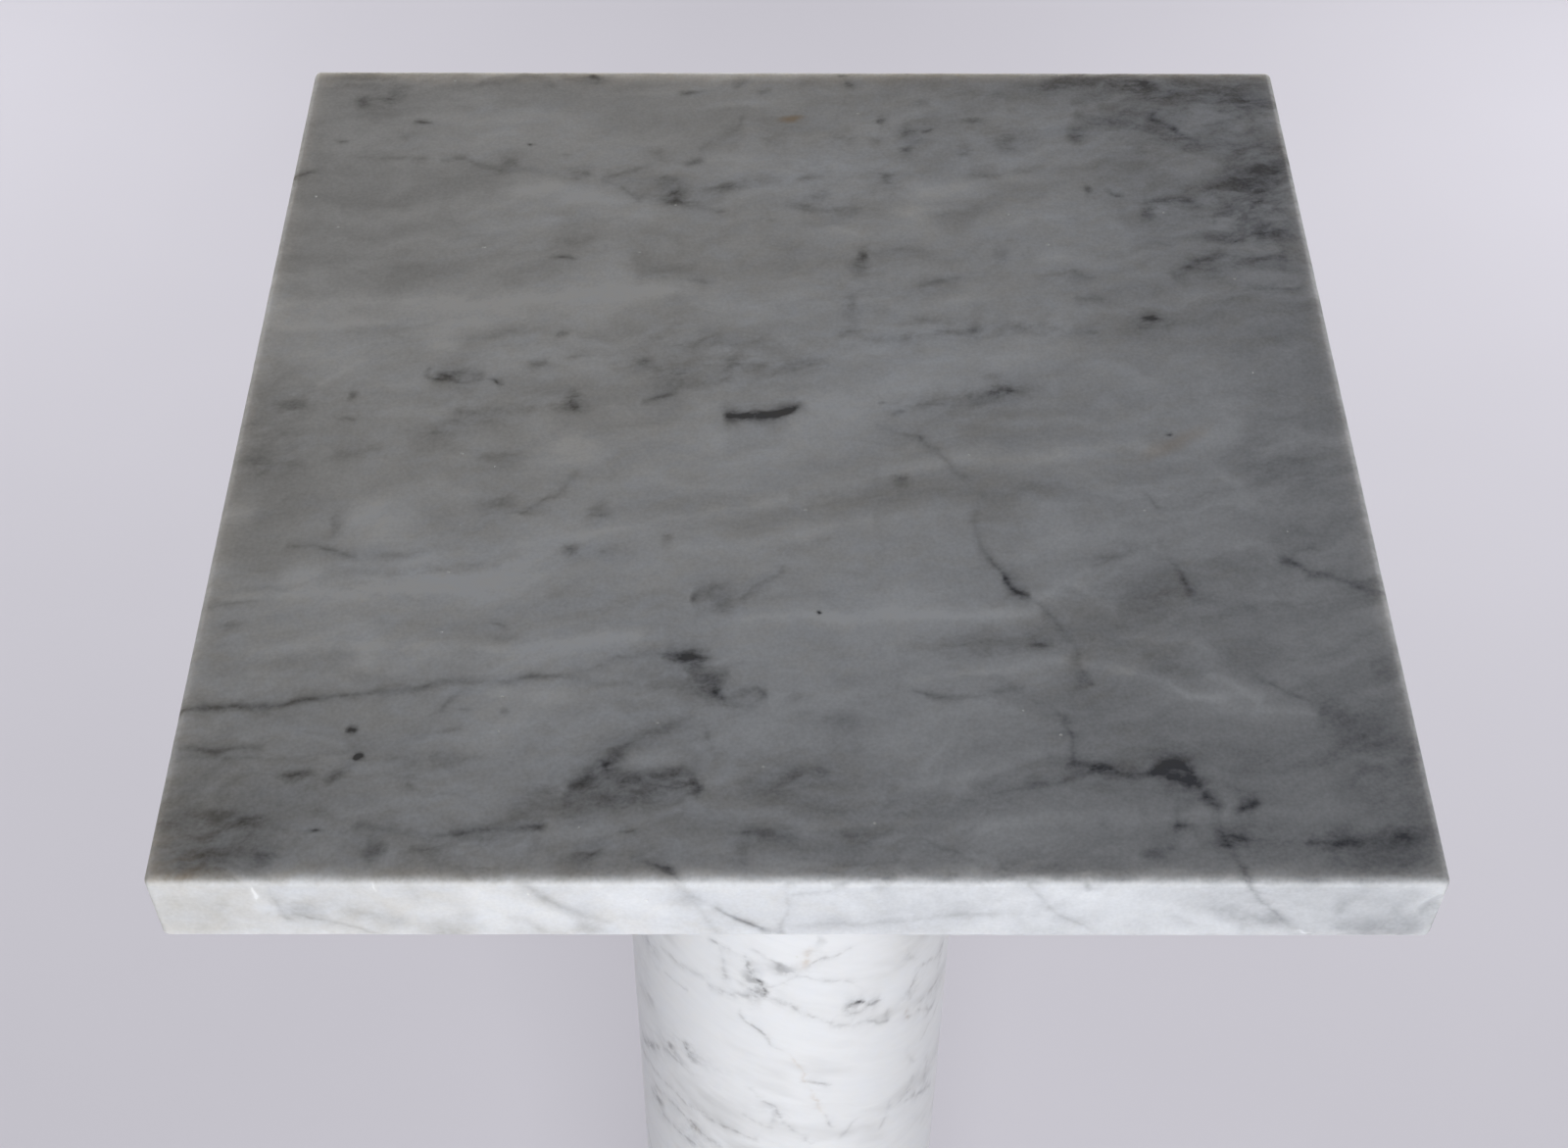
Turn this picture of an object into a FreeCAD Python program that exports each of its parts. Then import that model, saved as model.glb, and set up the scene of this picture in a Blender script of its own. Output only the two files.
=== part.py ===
"""Pedestal column stand in white veined marble.

Five stones stand on one another: a square plinth, a turned base moulding, a tapered shaft, a turned capital
and a square top slab. A steel tie rod runs up through the bored stones. Its lower nut pulls against a recess
under the plinth, its upper nut against a recess in the top of the capital, and its bare end locates the slab.
Each joint between two stones is bedded on a thin ring of mastic, and the plinth stands on four rubber feet.

Frame: millimetres, +Z up. The origin is on the floor, on the axis of the column. -Y is the front.
"""

import FreeCAD
import Part
import math
import os

# ---------------------------------------------------------------- driving sizes, in mm

TOTAL_HEIGHT = 1050.0  # floor to the top of the slab

# Top slab
SLAB_SIDE = 300.0
SLAB_THICKNESS = 24.0
SLAB_ARRIS = 1.5  # radius of the eased edges
SLAB_CROWN = 10.0  # stone left above the blind hole for the end of the tie rod

# Capital, from the joint with the shaft upwards
CAPITAL_NECK_HEIGHT = 18.0
CAPITAL_ANNULETS = 2  # small square steps under the ovolo
CAPITAL_ANNULET_STEP = 3.5
CAPITAL_ANNULET_HEIGHT = 3.0
CAPITAL_OVOLO_REACH = 23.0
CAPITAL_OVOLO_RISE = 21.0
CAPITAL_BAND_SET_OUT = 4.0
CAPITAL_BAND_HEIGHT = 11.0

# Shaft: a straight taper between two turned ends
SHAFT_TOP_RADIUS = 55.3
SHAFT_FOOT_RADIUS = 62.2
SHAFT_HEAD_FLARE = 4.7  # radius of the hollow under the head fillet
SHAFT_HEAD_FILLET_HEIGHT = 4.0
SHAFT_ASTRAGAL_HEIGHT = 10.0  # half-round bead at the head
SHAFT_HEAD_LIP_HEIGHT = 2.0  # above the bead, up to the joint
SHAFT_FOOT_FLARE = 14.0  # radius of the hollow over the foot fillet
SHAFT_FOOT_FILLET_HEIGHT = 8.0

# Base moulding, from the shaft downwards
BASE_LEDGE = 4.0  # flat ring left round the shaft's foot
BASE_UPPER_TORUS_HEIGHT = 16.0
BASE_FILLET_HEIGHT = 4.0
BASE_SCOTIA_UPPER_RADIUS = 7.0
BASE_SCOTIA_LOWER_RADIUS = 18.0
BASE_LOWER_TORUS_HEIGHT = 30.0

# Plinth
PLINTH_SIDE = 300.0
PLINTH_THICKNESS = 45.0
PLINTH_ARRIS = 2.0

# Turned edges, and mastic beds between the stones
TURNED_ARRIS = 0.8  # chamfer of the turned bands' edges
BED_THICKNESS = 1.0
BED_SET_BACK = 2.0  # from the edge of the smaller joint face
BED_HOLE_MARGIN = 3.0  # from the edge of the hole that the bed goes round

# Tie rod: M12 studding
ROD_RADIUS = 6.0
ROD_END_CHAMFER = 1.2
ROD_TAIL_LENGTH = 3.5  # how far it stands out below the lower nut
ROD_END_GAP = 3.0  # from the rod's end to the ceiling of the slab's hole
ROD_HOLE_CLEARANCE = 1.0  # all round, in the slab's hole
ROD_BORE_CLEARANCE = 4.0  # all round, in the other stones
THREAD_CLEARANCE = 0.05  # all round, in the nuts

# Nuts and washers
NUT_ACROSS_FLATS = 19.0
NUT_HEIGHT = 10.0
NUT_CHAMFER_ANGLE = 30.0  # degrees, of the turned corners
WASHER_RADIUS = 18.5
WASHER_THICKNESS = 3.0
WASHER_CLEARANCE = 0.5  # all round the rod
CUSHION_MARGIN = 1.5  # how far the rubber stands out round the steel washer
CUSHION_THICKNESS = 3.0
CUSHION_CLEARANCE = 1.0  # all round the rod
SPRING_WASHER_WIDTH = 4.4  # of the ring, from its hole to its outside
SPRING_WASHER_THICKNESS = 2.5
SPRING_WASHER_CLEARANCE = 0.1  # all round the rod
SPRING_WASHER_SPLIT = 1.5
WASHER_EDGE = 0.4  # chamfer of the washers' outer edges

# Recesses in the stones for the nuts and washers
CAPITAL_RECESS_CLEARANCE = 3.0  # all round the rubber washer
CAPITAL_RECESS_HEADROOM = 3.0  # over the upper nut
PLINTH_RECESS_CLEARANCE = 5.0
PLINTH_RECESS_HEADROOM = 4.0  # under the rod's tail

# Rubber feet
FOOT_RADIUS = 19.0
FOOT_HEIGHT = 4.0
FOOT_FLARE = 2.0  # how much wider the foot is where it is stuck to the plinth
FOOT_EDGE = 1.0  # chamfer where it meets the floor
FOOT_INSET = 38.0  # foot centre from the plinth's edges

# ---------------------------------------------------------------- levels, from the floor up

PLINTH_BOTTOM = FOOT_HEIGHT
PLINTH_TOP = PLINTH_BOTTOM + PLINTH_THICKNESS

BASE_BOTTOM = PLINTH_TOP + BED_THICKNESS
BASE_SCOTIA_HEIGHT = BASE_SCOTIA_LOWER_RADIUS + BASE_SCOTIA_UPPER_RADIUS
BASE_TORI_HEIGHT = BASE_LOWER_TORUS_HEIGHT + BASE_UPPER_TORUS_HEIGHT
BASE_TOP = BASE_BOTTOM + BASE_TORI_HEIGHT + BASE_SCOTIA_HEIGHT + 2 * BASE_FILLET_HEIGHT

SLAB_BOTTOM = TOTAL_HEIGHT - SLAB_THICKNESS
SLAB_HOLE_CEILING = TOTAL_HEIGHT - SLAB_CROWN

CAPITAL_TOP = SLAB_BOTTOM - BED_THICKNESS
CAPITAL_ANNULETS_HEIGHT = CAPITAL_ANNULETS * CAPITAL_ANNULET_HEIGHT
CAPITAL_BAND_BOTTOM = CAPITAL_TOP - CAPITAL_BAND_HEIGHT
CAPITAL_BOTTOM = CAPITAL_BAND_BOTTOM - CAPITAL_OVOLO_RISE - CAPITAL_ANNULETS_HEIGHT - CAPITAL_NECK_HEIGHT

SHAFT_BOTTOM = BASE_TOP + BED_THICKNESS
SHAFT_TOP = CAPITAL_BOTTOM - BED_THICKNESS

# The upper hardware hangs from the capital's top: headroom, nut, washer and rubber washer.
UPPER_NUT_BOTTOM = CAPITAL_TOP - CAPITAL_RECESS_HEADROOM - NUT_HEIGHT
UPPER_WASHER_BOTTOM = UPPER_NUT_BOTTOM - WASHER_THICKNESS
CAPITAL_RECESS_FLOOR = UPPER_WASHER_BOTTOM - CUSHION_THICKNESS
ROD_TOP = SLAB_HOLE_CEILING - ROD_END_GAP

# The lower hardware stands over the plinth's underside: headroom, rod tail, nut and washers.
ROD_BOTTOM = PLINTH_BOTTOM + PLINTH_RECESS_HEADROOM
LOWER_NUT_BOTTOM = ROD_BOTTOM + ROD_TAIL_LENGTH
SPRING_WASHER_BOTTOM = LOWER_NUT_BOTTOM + NUT_HEIGHT
LOWER_WASHER_BOTTOM = SPRING_WASHER_BOTTOM + SPRING_WASHER_THICKNESS
LOWER_CUSHION_BOTTOM = LOWER_WASHER_BOTTOM + WASHER_THICKNESS
PLINTH_RECESS_CEILING = LOWER_CUSHION_BOTTOM + CUSHION_THICKNESS

# ---------------------------------------------------------------- radii that follow from those sizes

SHAFT_HEAD_FILLET_RADIUS = SHAFT_TOP_RADIUS + SHAFT_HEAD_FLARE
SHAFT_FOOT_FILLET_RADIUS = SHAFT_FOOT_RADIUS + SHAFT_FOOT_FLARE

CAPITAL_NECK_RADIUS = SHAFT_TOP_RADIUS
CAPITAL_OVOLO_FOOT_RADIUS = CAPITAL_NECK_RADIUS + CAPITAL_ANNULETS * CAPITAL_ANNULET_STEP
CAPITAL_BAND_RADIUS = CAPITAL_OVOLO_FOOT_RADIUS + CAPITAL_OVOLO_REACH + CAPITAL_BAND_SET_OUT

BASE_UPPER_CORE_RADIUS = SHAFT_FOOT_FILLET_RADIUS + BASE_LEDGE  # of the upper torus and the fillet below it
BASE_THROAT_RADIUS = BASE_UPPER_CORE_RADIUS - BASE_SCOTIA_UPPER_RADIUS
BASE_LOWER_CORE_RADIUS = BASE_THROAT_RADIUS + BASE_SCOTIA_LOWER_RADIUS  # of the lower torus and its fillet

BORE_RADIUS = ROD_RADIUS + ROD_BORE_CLEARANCE
SLAB_HOLE_RADIUS = ROD_RADIUS + ROD_HOLE_CLEARANCE
CUSHION_RADIUS = WASHER_RADIUS + CUSHION_MARGIN
CAPITAL_RECESS_RADIUS = CUSHION_RADIUS + CAPITAL_RECESS_CLEARANCE
PLINTH_RECESS_RADIUS = CUSHION_RADIUS + PLINTH_RECESS_CLEARANCE

Z_AXIS = FreeCAD.Vector(0, 0, 1)
FULL_TURN = 360.0  # degrees
HEXAGON_SIDES = 6
FAR = math.sqrt(0.5)  # where a quarter arc's middle lies, as shares of its reach and rise
NEAR = 1 - FAR


class Outline:
    """Half of a turned section, drawn upwards in the XZ plane as (radius, height) points, lines and arcs."""

    def __init__(self, radius, height):
        self.start = FreeCAD.Vector(radius, 0, height)
        self.pen = self.start
        self.edges = []

    def line(self, radius, height):
        end = FreeCAD.Vector(radius, 0, height)
        self.edges.append(Part.LineSegment(self.pen, end).toShape())
        self.pen = end
        return self

    def arc(self, via_radius, via_height, radius, height):
        via = FreeCAD.Vector(via_radius, 0, via_height)
        end = FreeCAD.Vector(radius, 0, height)
        self.edges.append(Part.Arc(self.pen, via, end).toShape())
        self.pen = end
        return self

    def upright(self, height):
        return self.line(self.pen.x, self.pen.z + height)

    def bead(self, height):
        """A half-round bead of this height."""
        r, z = self.pen.x, self.pen.z
        return self.arc(r + height / 2, z + height / 2, r, z + height)

    def hollow(self, radius):
        """A concave quarter circle up to this radius: upright at its narrow end, level at its wide end."""
        r, z = self.pen.x, self.pen.z
        reach, rise = radius - r, abs(radius - r)
        share_r, share_z = (NEAR, FAR) if reach > 0 else (FAR, NEAR)
        return self.arc(r + share_r * reach, z + share_z * rise, radius, z + rise)

    def ovolo(self, reach, rise):
        """A convex quarter that leaves the pen outwards and ends upright."""
        r, z = self.pen.x, self.pen.z
        return self.arc(r + FAR * reach, z + NEAR * rise, r + reach, z + rise)

    def band(self, radius, height, arris):
        """An upright band out to this radius, with both of its edges broken."""
        bottom, top = self.pen.z, self.pen.z + height
        self.line(radius - arris, bottom).line(radius, bottom + arris)
        return self.line(radius, top - arris).line(radius - arris, top)

    def turned(self):
        """The solid that the closed outline makes when it turns once about the column's axis."""
        self.line(self.start.x, self.start.z)
        face = Part.Face(Part.Wire(self.edges))
        return face.revolve(FreeCAD.Vector(0, 0, 0), Z_AXIS, FULL_TURN)


def cylinder(radius, bottom, top):
    return Part.makeCylinder(radius, top - bottom, FreeCAD.Vector(0, 0, bottom), Z_AXIS)


def squared_stone(side, bottom, thickness, arris):
    """A square slab centred on the axis, with every edge eased."""
    corner = FreeCAD.Vector(-side / 2, -side / 2, bottom)
    block = Part.makeBox(side, side, thickness, corner)
    return block.makeFillet(arris, block.Edges)


# ---------------------------------------------------------------- the stones


def top_slab():
    stone = squared_stone(SLAB_SIDE, SLAB_BOTTOM, SLAB_THICKNESS, SLAB_ARRIS)
    return stone.cut(cylinder(SLAB_HOLE_RADIUS, SLAB_BOTTOM, SLAB_HOLE_CEILING))


def capital():
    """Necking, annulets, ovolo and round band, bored through, with a recess for the upper nut."""
    section = Outline(BORE_RADIUS, CAPITAL_BOTTOM)
    section.line(CAPITAL_NECK_RADIUS, CAPITAL_BOTTOM)
    section.upright(CAPITAL_NECK_HEIGHT)
    for _ in range(CAPITAL_ANNULETS):
        section.line(section.pen.x + CAPITAL_ANNULET_STEP, section.pen.z)
        section.upright(CAPITAL_ANNULET_HEIGHT)
    section.ovolo(CAPITAL_OVOLO_REACH, CAPITAL_OVOLO_RISE)
    section.band(CAPITAL_BAND_RADIUS, CAPITAL_BAND_HEIGHT, TURNED_ARRIS)
    section.line(CAPITAL_RECESS_RADIUS, CAPITAL_TOP)
    section.line(CAPITAL_RECESS_RADIUS, CAPITAL_RECESS_FLOOR)
    section.line(BORE_RADIUS, CAPITAL_RECESS_FLOOR)
    return section.turned()


def shaft():
    """Foot fillet and hollow, straight taper, then hollow, fillet and astragal at the head."""
    head_height = SHAFT_HEAD_FLARE + SHAFT_HEAD_FILLET_HEIGHT + SHAFT_ASTRAGAL_HEIGHT + SHAFT_HEAD_LIP_HEIGHT
    section = Outline(BORE_RADIUS, SHAFT_BOTTOM)
    section.band(SHAFT_FOOT_FILLET_RADIUS, SHAFT_FOOT_FILLET_HEIGHT, TURNED_ARRIS)
    section.hollow(SHAFT_FOOT_RADIUS)
    section.line(SHAFT_TOP_RADIUS, SHAFT_TOP - head_height)
    section.hollow(SHAFT_HEAD_FILLET_RADIUS)
    section.upright(SHAFT_HEAD_FILLET_HEIGHT)
    section.bead(SHAFT_ASTRAGAL_HEIGHT)
    section.upright(SHAFT_HEAD_LIP_HEIGHT)
    section.line(BORE_RADIUS, SHAFT_TOP)
    return section.turned()


def base_moulding():
    """Lower torus, fillet, scotia, fillet and upper torus."""
    section = Outline(BORE_RADIUS, BASE_BOTTOM)
    section.line(BASE_LOWER_CORE_RADIUS, BASE_BOTTOM)
    section.bead(BASE_LOWER_TORUS_HEIGHT)
    section.upright(BASE_FILLET_HEIGHT)
    section.hollow(BASE_THROAT_RADIUS)
    section.hollow(BASE_UPPER_CORE_RADIUS)
    section.upright(BASE_FILLET_HEIGHT)
    section.bead(BASE_UPPER_TORUS_HEIGHT)
    section.line(BORE_RADIUS, BASE_TOP)
    return section.turned()


def plinth():
    stone = squared_stone(PLINTH_SIDE, PLINTH_BOTTOM, PLINTH_THICKNESS, PLINTH_ARRIS)
    bore = cylinder(BORE_RADIUS, PLINTH_BOTTOM, PLINTH_TOP)
    recess = cylinder(PLINTH_RECESS_RADIUS, PLINTH_BOTTOM, PLINTH_RECESS_CEILING)
    return stone.cut([bore, recess])


# ---------------------------------------------------------------- mastic beds


def bed(joint_radius, hole_radius, bottom):
    """The mastic in one joint, kept back from the smaller face's edge and from the hole."""
    top = bottom + BED_THICKNESS
    hole = cylinder(hole_radius + BED_HOLE_MARGIN, bottom, top)
    return cylinder(joint_radius - BED_SET_BACK, bottom, top).cut(hole)


def beds():
    return {
        "plinth_bed": bed(BASE_LOWER_CORE_RADIUS, BORE_RADIUS, PLINTH_TOP),
        "shaft_foot_bed": bed(SHAFT_FOOT_FILLET_RADIUS, BORE_RADIUS, BASE_TOP),
        "capital_bed": bed(CAPITAL_NECK_RADIUS, BORE_RADIUS, SHAFT_TOP),
        "slab_bed": bed(CAPITAL_BAND_RADIUS, CAPITAL_RECESS_RADIUS, CAPITAL_TOP),
    }


# ---------------------------------------------------------------- tie rod and hardware


def tie_rod():
    section = Outline(0, ROD_BOTTOM)
    section.line(ROD_RADIUS - ROD_END_CHAMFER, ROD_BOTTOM).line(ROD_RADIUS, ROD_BOTTOM + ROD_END_CHAMFER)
    section.line(ROD_RADIUS, ROD_TOP - ROD_END_CHAMFER).line(ROD_RADIUS - ROD_END_CHAMFER, ROD_TOP)
    return section.line(0, ROD_TOP).turned()


def ring(outer_radius, clearance, bottom, thickness):
    """A washer round the rod, with its outer edges chamfered by no more than a third of its thickness."""
    hole_radius, top = ROD_RADIUS + clearance, bottom + thickness
    edge = min(WASHER_EDGE, thickness / 3)
    section = Outline(hole_radius, bottom)
    section.line(outer_radius - edge, bottom).line(outer_radius, bottom + edge)
    section.line(outer_radius, top - edge).line(outer_radius - edge, top)
    return section.line(hole_radius, top).turned()


def cushion_washer(bottom):
    """The rubber washer between steel and stone."""
    return ring(CUSHION_RADIUS, CUSHION_CLEARANCE, bottom, CUSHION_THICKNESS)


def steel_washer(bottom):
    return ring(WASHER_RADIUS, WASHER_CLEARANCE, bottom, WASHER_THICKNESS)


def spring_washer(bottom):
    """A split lock washer, flattened by the nut."""
    radius = ROD_RADIUS + SPRING_WASHER_CLEARANCE + SPRING_WASHER_WIDTH
    washer = ring(radius, SPRING_WASHER_CLEARANCE, bottom, SPRING_WASHER_THICKNESS)
    corner = FreeCAD.Vector(0, -SPRING_WASHER_SPLIT / 2, bottom)
    return washer.cut(Part.makeBox(radius, SPRING_WASHER_SPLIT, SPRING_WASHER_THICKNESS, corner))


def nut(bottom):
    """A hexagon with its corners turned off at both ends, and a plain bore in place of the thread."""
    flat, top = NUT_ACROSS_FLATS / 2, bottom + NUT_HEIGHT
    corner = flat / math.cos(math.pi / HEXAGON_SIDES)
    points = []
    for k in range(HEXAGON_SIDES + 1):
        angle = 2 * math.pi * k / HEXAGON_SIDES
        points.append(FreeCAD.Vector(corner * math.cos(angle), corner * math.sin(angle), bottom))
    hexagon = Part.Face(Part.makePolygon(points)).extrude(FreeCAD.Vector(0, 0, NUT_HEIGHT))
    drop = (corner - flat) * math.tan(math.radians(NUT_CHAMFER_ANGLE))
    turning = Outline(0, bottom).line(flat, bottom).line(corner, bottom + drop)
    turning.line(corner, top - drop).line(flat, top).line(0, top)
    return hexagon.common(turning.turned()).cut(cylinder(ROD_RADIUS + THREAD_CLEARANCE, bottom, top))


def hardware():
    return {
        "tie_rod": tie_rod(),
        "upper_cushion_washer": cushion_washer(CAPITAL_RECESS_FLOOR),
        "upper_washer": steel_washer(UPPER_WASHER_BOTTOM),
        "upper_nut": nut(UPPER_NUT_BOTTOM),
        "lower_cushion_washer": cushion_washer(LOWER_CUSHION_BOTTOM),
        "lower_washer": steel_washer(LOWER_WASHER_BOTTOM),
        "lower_spring_washer": spring_washer(SPRING_WASHER_BOTTOM),
        "lower_nut": nut(LOWER_NUT_BOTTOM),
    }


# ---------------------------------------------------------------- feet


def foot(x, y):
    """A moulded rubber bumper, wider where it is stuck on and chamfered where it meets the floor."""
    tread_radius = FOOT_RADIUS - FOOT_FLARE
    section = Outline(0, 0).line(tread_radius - FOOT_EDGE, 0).line(tread_radius, FOOT_EDGE)
    rubber = section.line(FOOT_RADIUS, FOOT_HEIGHT).line(0, FOOT_HEIGHT).turned()
    rubber.translate(FreeCAD.Vector(x, y, 0))
    return rubber


def feet():
    offset = PLINTH_SIDE / 2 - FOOT_INSET
    return {
        f"foot_{row}_{side}": foot(x, y)
        for row, y in (("front", -offset), ("back", offset))
        for side, x in (("left", -offset), ("right", offset))
    }


# ---------------------------------------------------------------- the whole stand


def pieces():
    stones = {
        "top_slab": top_slab(),
        "capital": capital(),
        "shaft": shaft(),
        "base_moulding": base_moulding(),
        "plinth": plinth(),
    }
    return {**stones, **beds(), **hardware(), **feet()}


os.makedirs("parts", exist_ok=True)
for name, shape in pieces().items():
    if not shape.isValid() or shape.Volume <= 0:
        raise ValueError(f"{name} is not a closed solid")
    shape.exportStep(f"parts/{name}.step")
    print(f"{name}: {shape.Volume / 1000:.1f} cm3, {len(shape.Solids)} solid")
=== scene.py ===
"""The pedestal column stand as it looks: white veined marble with its wear, mastic, steel and rubber.

Pieces and the stones' markings are written in millimetres, the studio round them in metres. The frame is the
part's own: +Z up, the front is -Y, and the origin is on the floor, on the axis of the column.
"""

import math

import bmesh
import bpy
from mathutils import Euler, Matrix, Vector, noise


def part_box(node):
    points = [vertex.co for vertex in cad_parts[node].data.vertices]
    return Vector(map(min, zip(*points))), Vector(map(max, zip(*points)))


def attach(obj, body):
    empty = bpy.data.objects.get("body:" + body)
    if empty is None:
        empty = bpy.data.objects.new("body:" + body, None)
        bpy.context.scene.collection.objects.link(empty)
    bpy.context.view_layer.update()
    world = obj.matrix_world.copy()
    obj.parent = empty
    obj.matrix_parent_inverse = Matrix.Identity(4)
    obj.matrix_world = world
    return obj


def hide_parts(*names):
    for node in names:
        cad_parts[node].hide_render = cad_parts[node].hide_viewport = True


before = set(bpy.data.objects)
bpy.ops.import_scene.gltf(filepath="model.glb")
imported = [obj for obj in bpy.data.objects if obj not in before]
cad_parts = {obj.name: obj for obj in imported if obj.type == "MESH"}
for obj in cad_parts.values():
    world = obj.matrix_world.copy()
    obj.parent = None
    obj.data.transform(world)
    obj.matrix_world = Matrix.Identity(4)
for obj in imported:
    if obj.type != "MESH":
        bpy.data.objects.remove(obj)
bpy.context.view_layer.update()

MM = 0.001


def node_box(node):
    """(lowest corner, highest corner) of a CAD node, in mm."""
    low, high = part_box(node)
    return low / MM, high / MM


# ---------------------------------------------------------------- sizes, in mm

SLAB_LOW, SLAB_HIGH = node_box("top_slab")
PLINTH_LOW, PLINTH_HIGH = node_box("plinth")
SLAB_HALF = SLAB_HIGH.x
SLAB_TOP = SLAB_HIGH.z
SLAB_BOTTOM = SLAB_LOW.z

SLAB_ARRIS = 2.0  # radius of the eased edges
PLINTH_ARRIS = 2.0
TURNED_EASE = 0.7  # radius of the turned bands' edges
STEP_EASE = 0.35  # radius of the small steps' edges
TURNED_SEGMENTS = 192
QUARTER_POINTS = 12

SHAFT_TOP_RADIUS = 55.3
SHAFT_FOOT_RADIUS = 62.2
SHAFT_FOOT_FILLET_HEIGHT = 8.0
SHAFT_HEAD_FLARE = 4.7
SHAFT_HEAD_FILLET_HEIGHT = 4.0
ASTRAGAL_HEIGHT = 10.0
SHAFT_LIP_HEIGHT = 2.0

CAPITAL_NECK_HEIGHT = 18.0
ANNULETS = 2
ANNULET_STEP = 3.5
ANNULET_HEIGHT = 3.0
OVOLO_REACH = 23.0
OVOLO_RISE = 21.0
CAPITAL_RECESS_RADIUS = 23.0

BASE_THROAT_RADIUS = 73.2
BASE_UPPER_CORE_RADIUS = 80.2
UPPER_TORUS_HEIGHT = 16.0
LOWER_TORUS_HEIGHT = 30.0
BASE_FILLET_HEIGHT = 4.0

BORE_RADIUS = 10.0
SLAB_HOLE_RADIUS = 7.0
SLAB_CROWN = 10.0  # stone left above the blind hole
PLINTH_RECESS_RADIUS = 25.0
PLINTH_RECESS_DEPTH = 26.0

THREAD_PITCH = 1.75
THREAD_DEPTH = 1.07
THREAD_SEGMENTS = 16
ROD_END_CHAMFER = 1.2

FOOT_FLARE = 2.0
FOOT_EDGE = 1.0
FOOT_TOP_EDGE = 0.4

MASTIC_GAP = 3.0  # between a bed and the bore or recess inside it
MASTIC_INSET = 0.5  # how far a bed's mean edge lies inside its node's
MASTIC_WANDER = 1.1
MASTIC_BULGE = 0.35

SIDE_POINTS = 90  # along each side of a square stone
ARRIS_POINTS = 6
CORNER_POINTS = 5
LEAST_CORNER_RADIUS = 0.05
ARRIS_WEAR = 0.22
WEAR_PACE = 0.12  # of the wear's noise, per mm
CHIP_ROUGHNESS = ((1.4, 0.16), (5, 0.04))  # (pace of the noise, depth), where a lump's radius is 1

# ---------------------------------------------------------------- the slab's markings, in mm

# All markings were placed in views of the photograph that show the slab straight and the shaft unrolled.

# The slab is cut across its bedding, so a mark on the top runs down into the stone and comes out this much
# further right for each mm of depth.
SLAB_LEAN = 0.62
SLAB_LINE_SPREAD = 1.2  # how much wider the top's lines are than written
PALEST_X, PALEST_Y = -42.0, 22.0
RUST_PLACE, RUST_SIZE = (-0.5, 126.0, 0.0), (4.5, 2, 50)
SMEAR_PLACE, SMEAR_SIZE, SMEAR_TURN = (101.0, -12.0, 0.0), (11, 3, 50), (0, 0, math.radians(33))
STAINED_CORNER = (-146.0, -147.0, 0.0)

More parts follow.
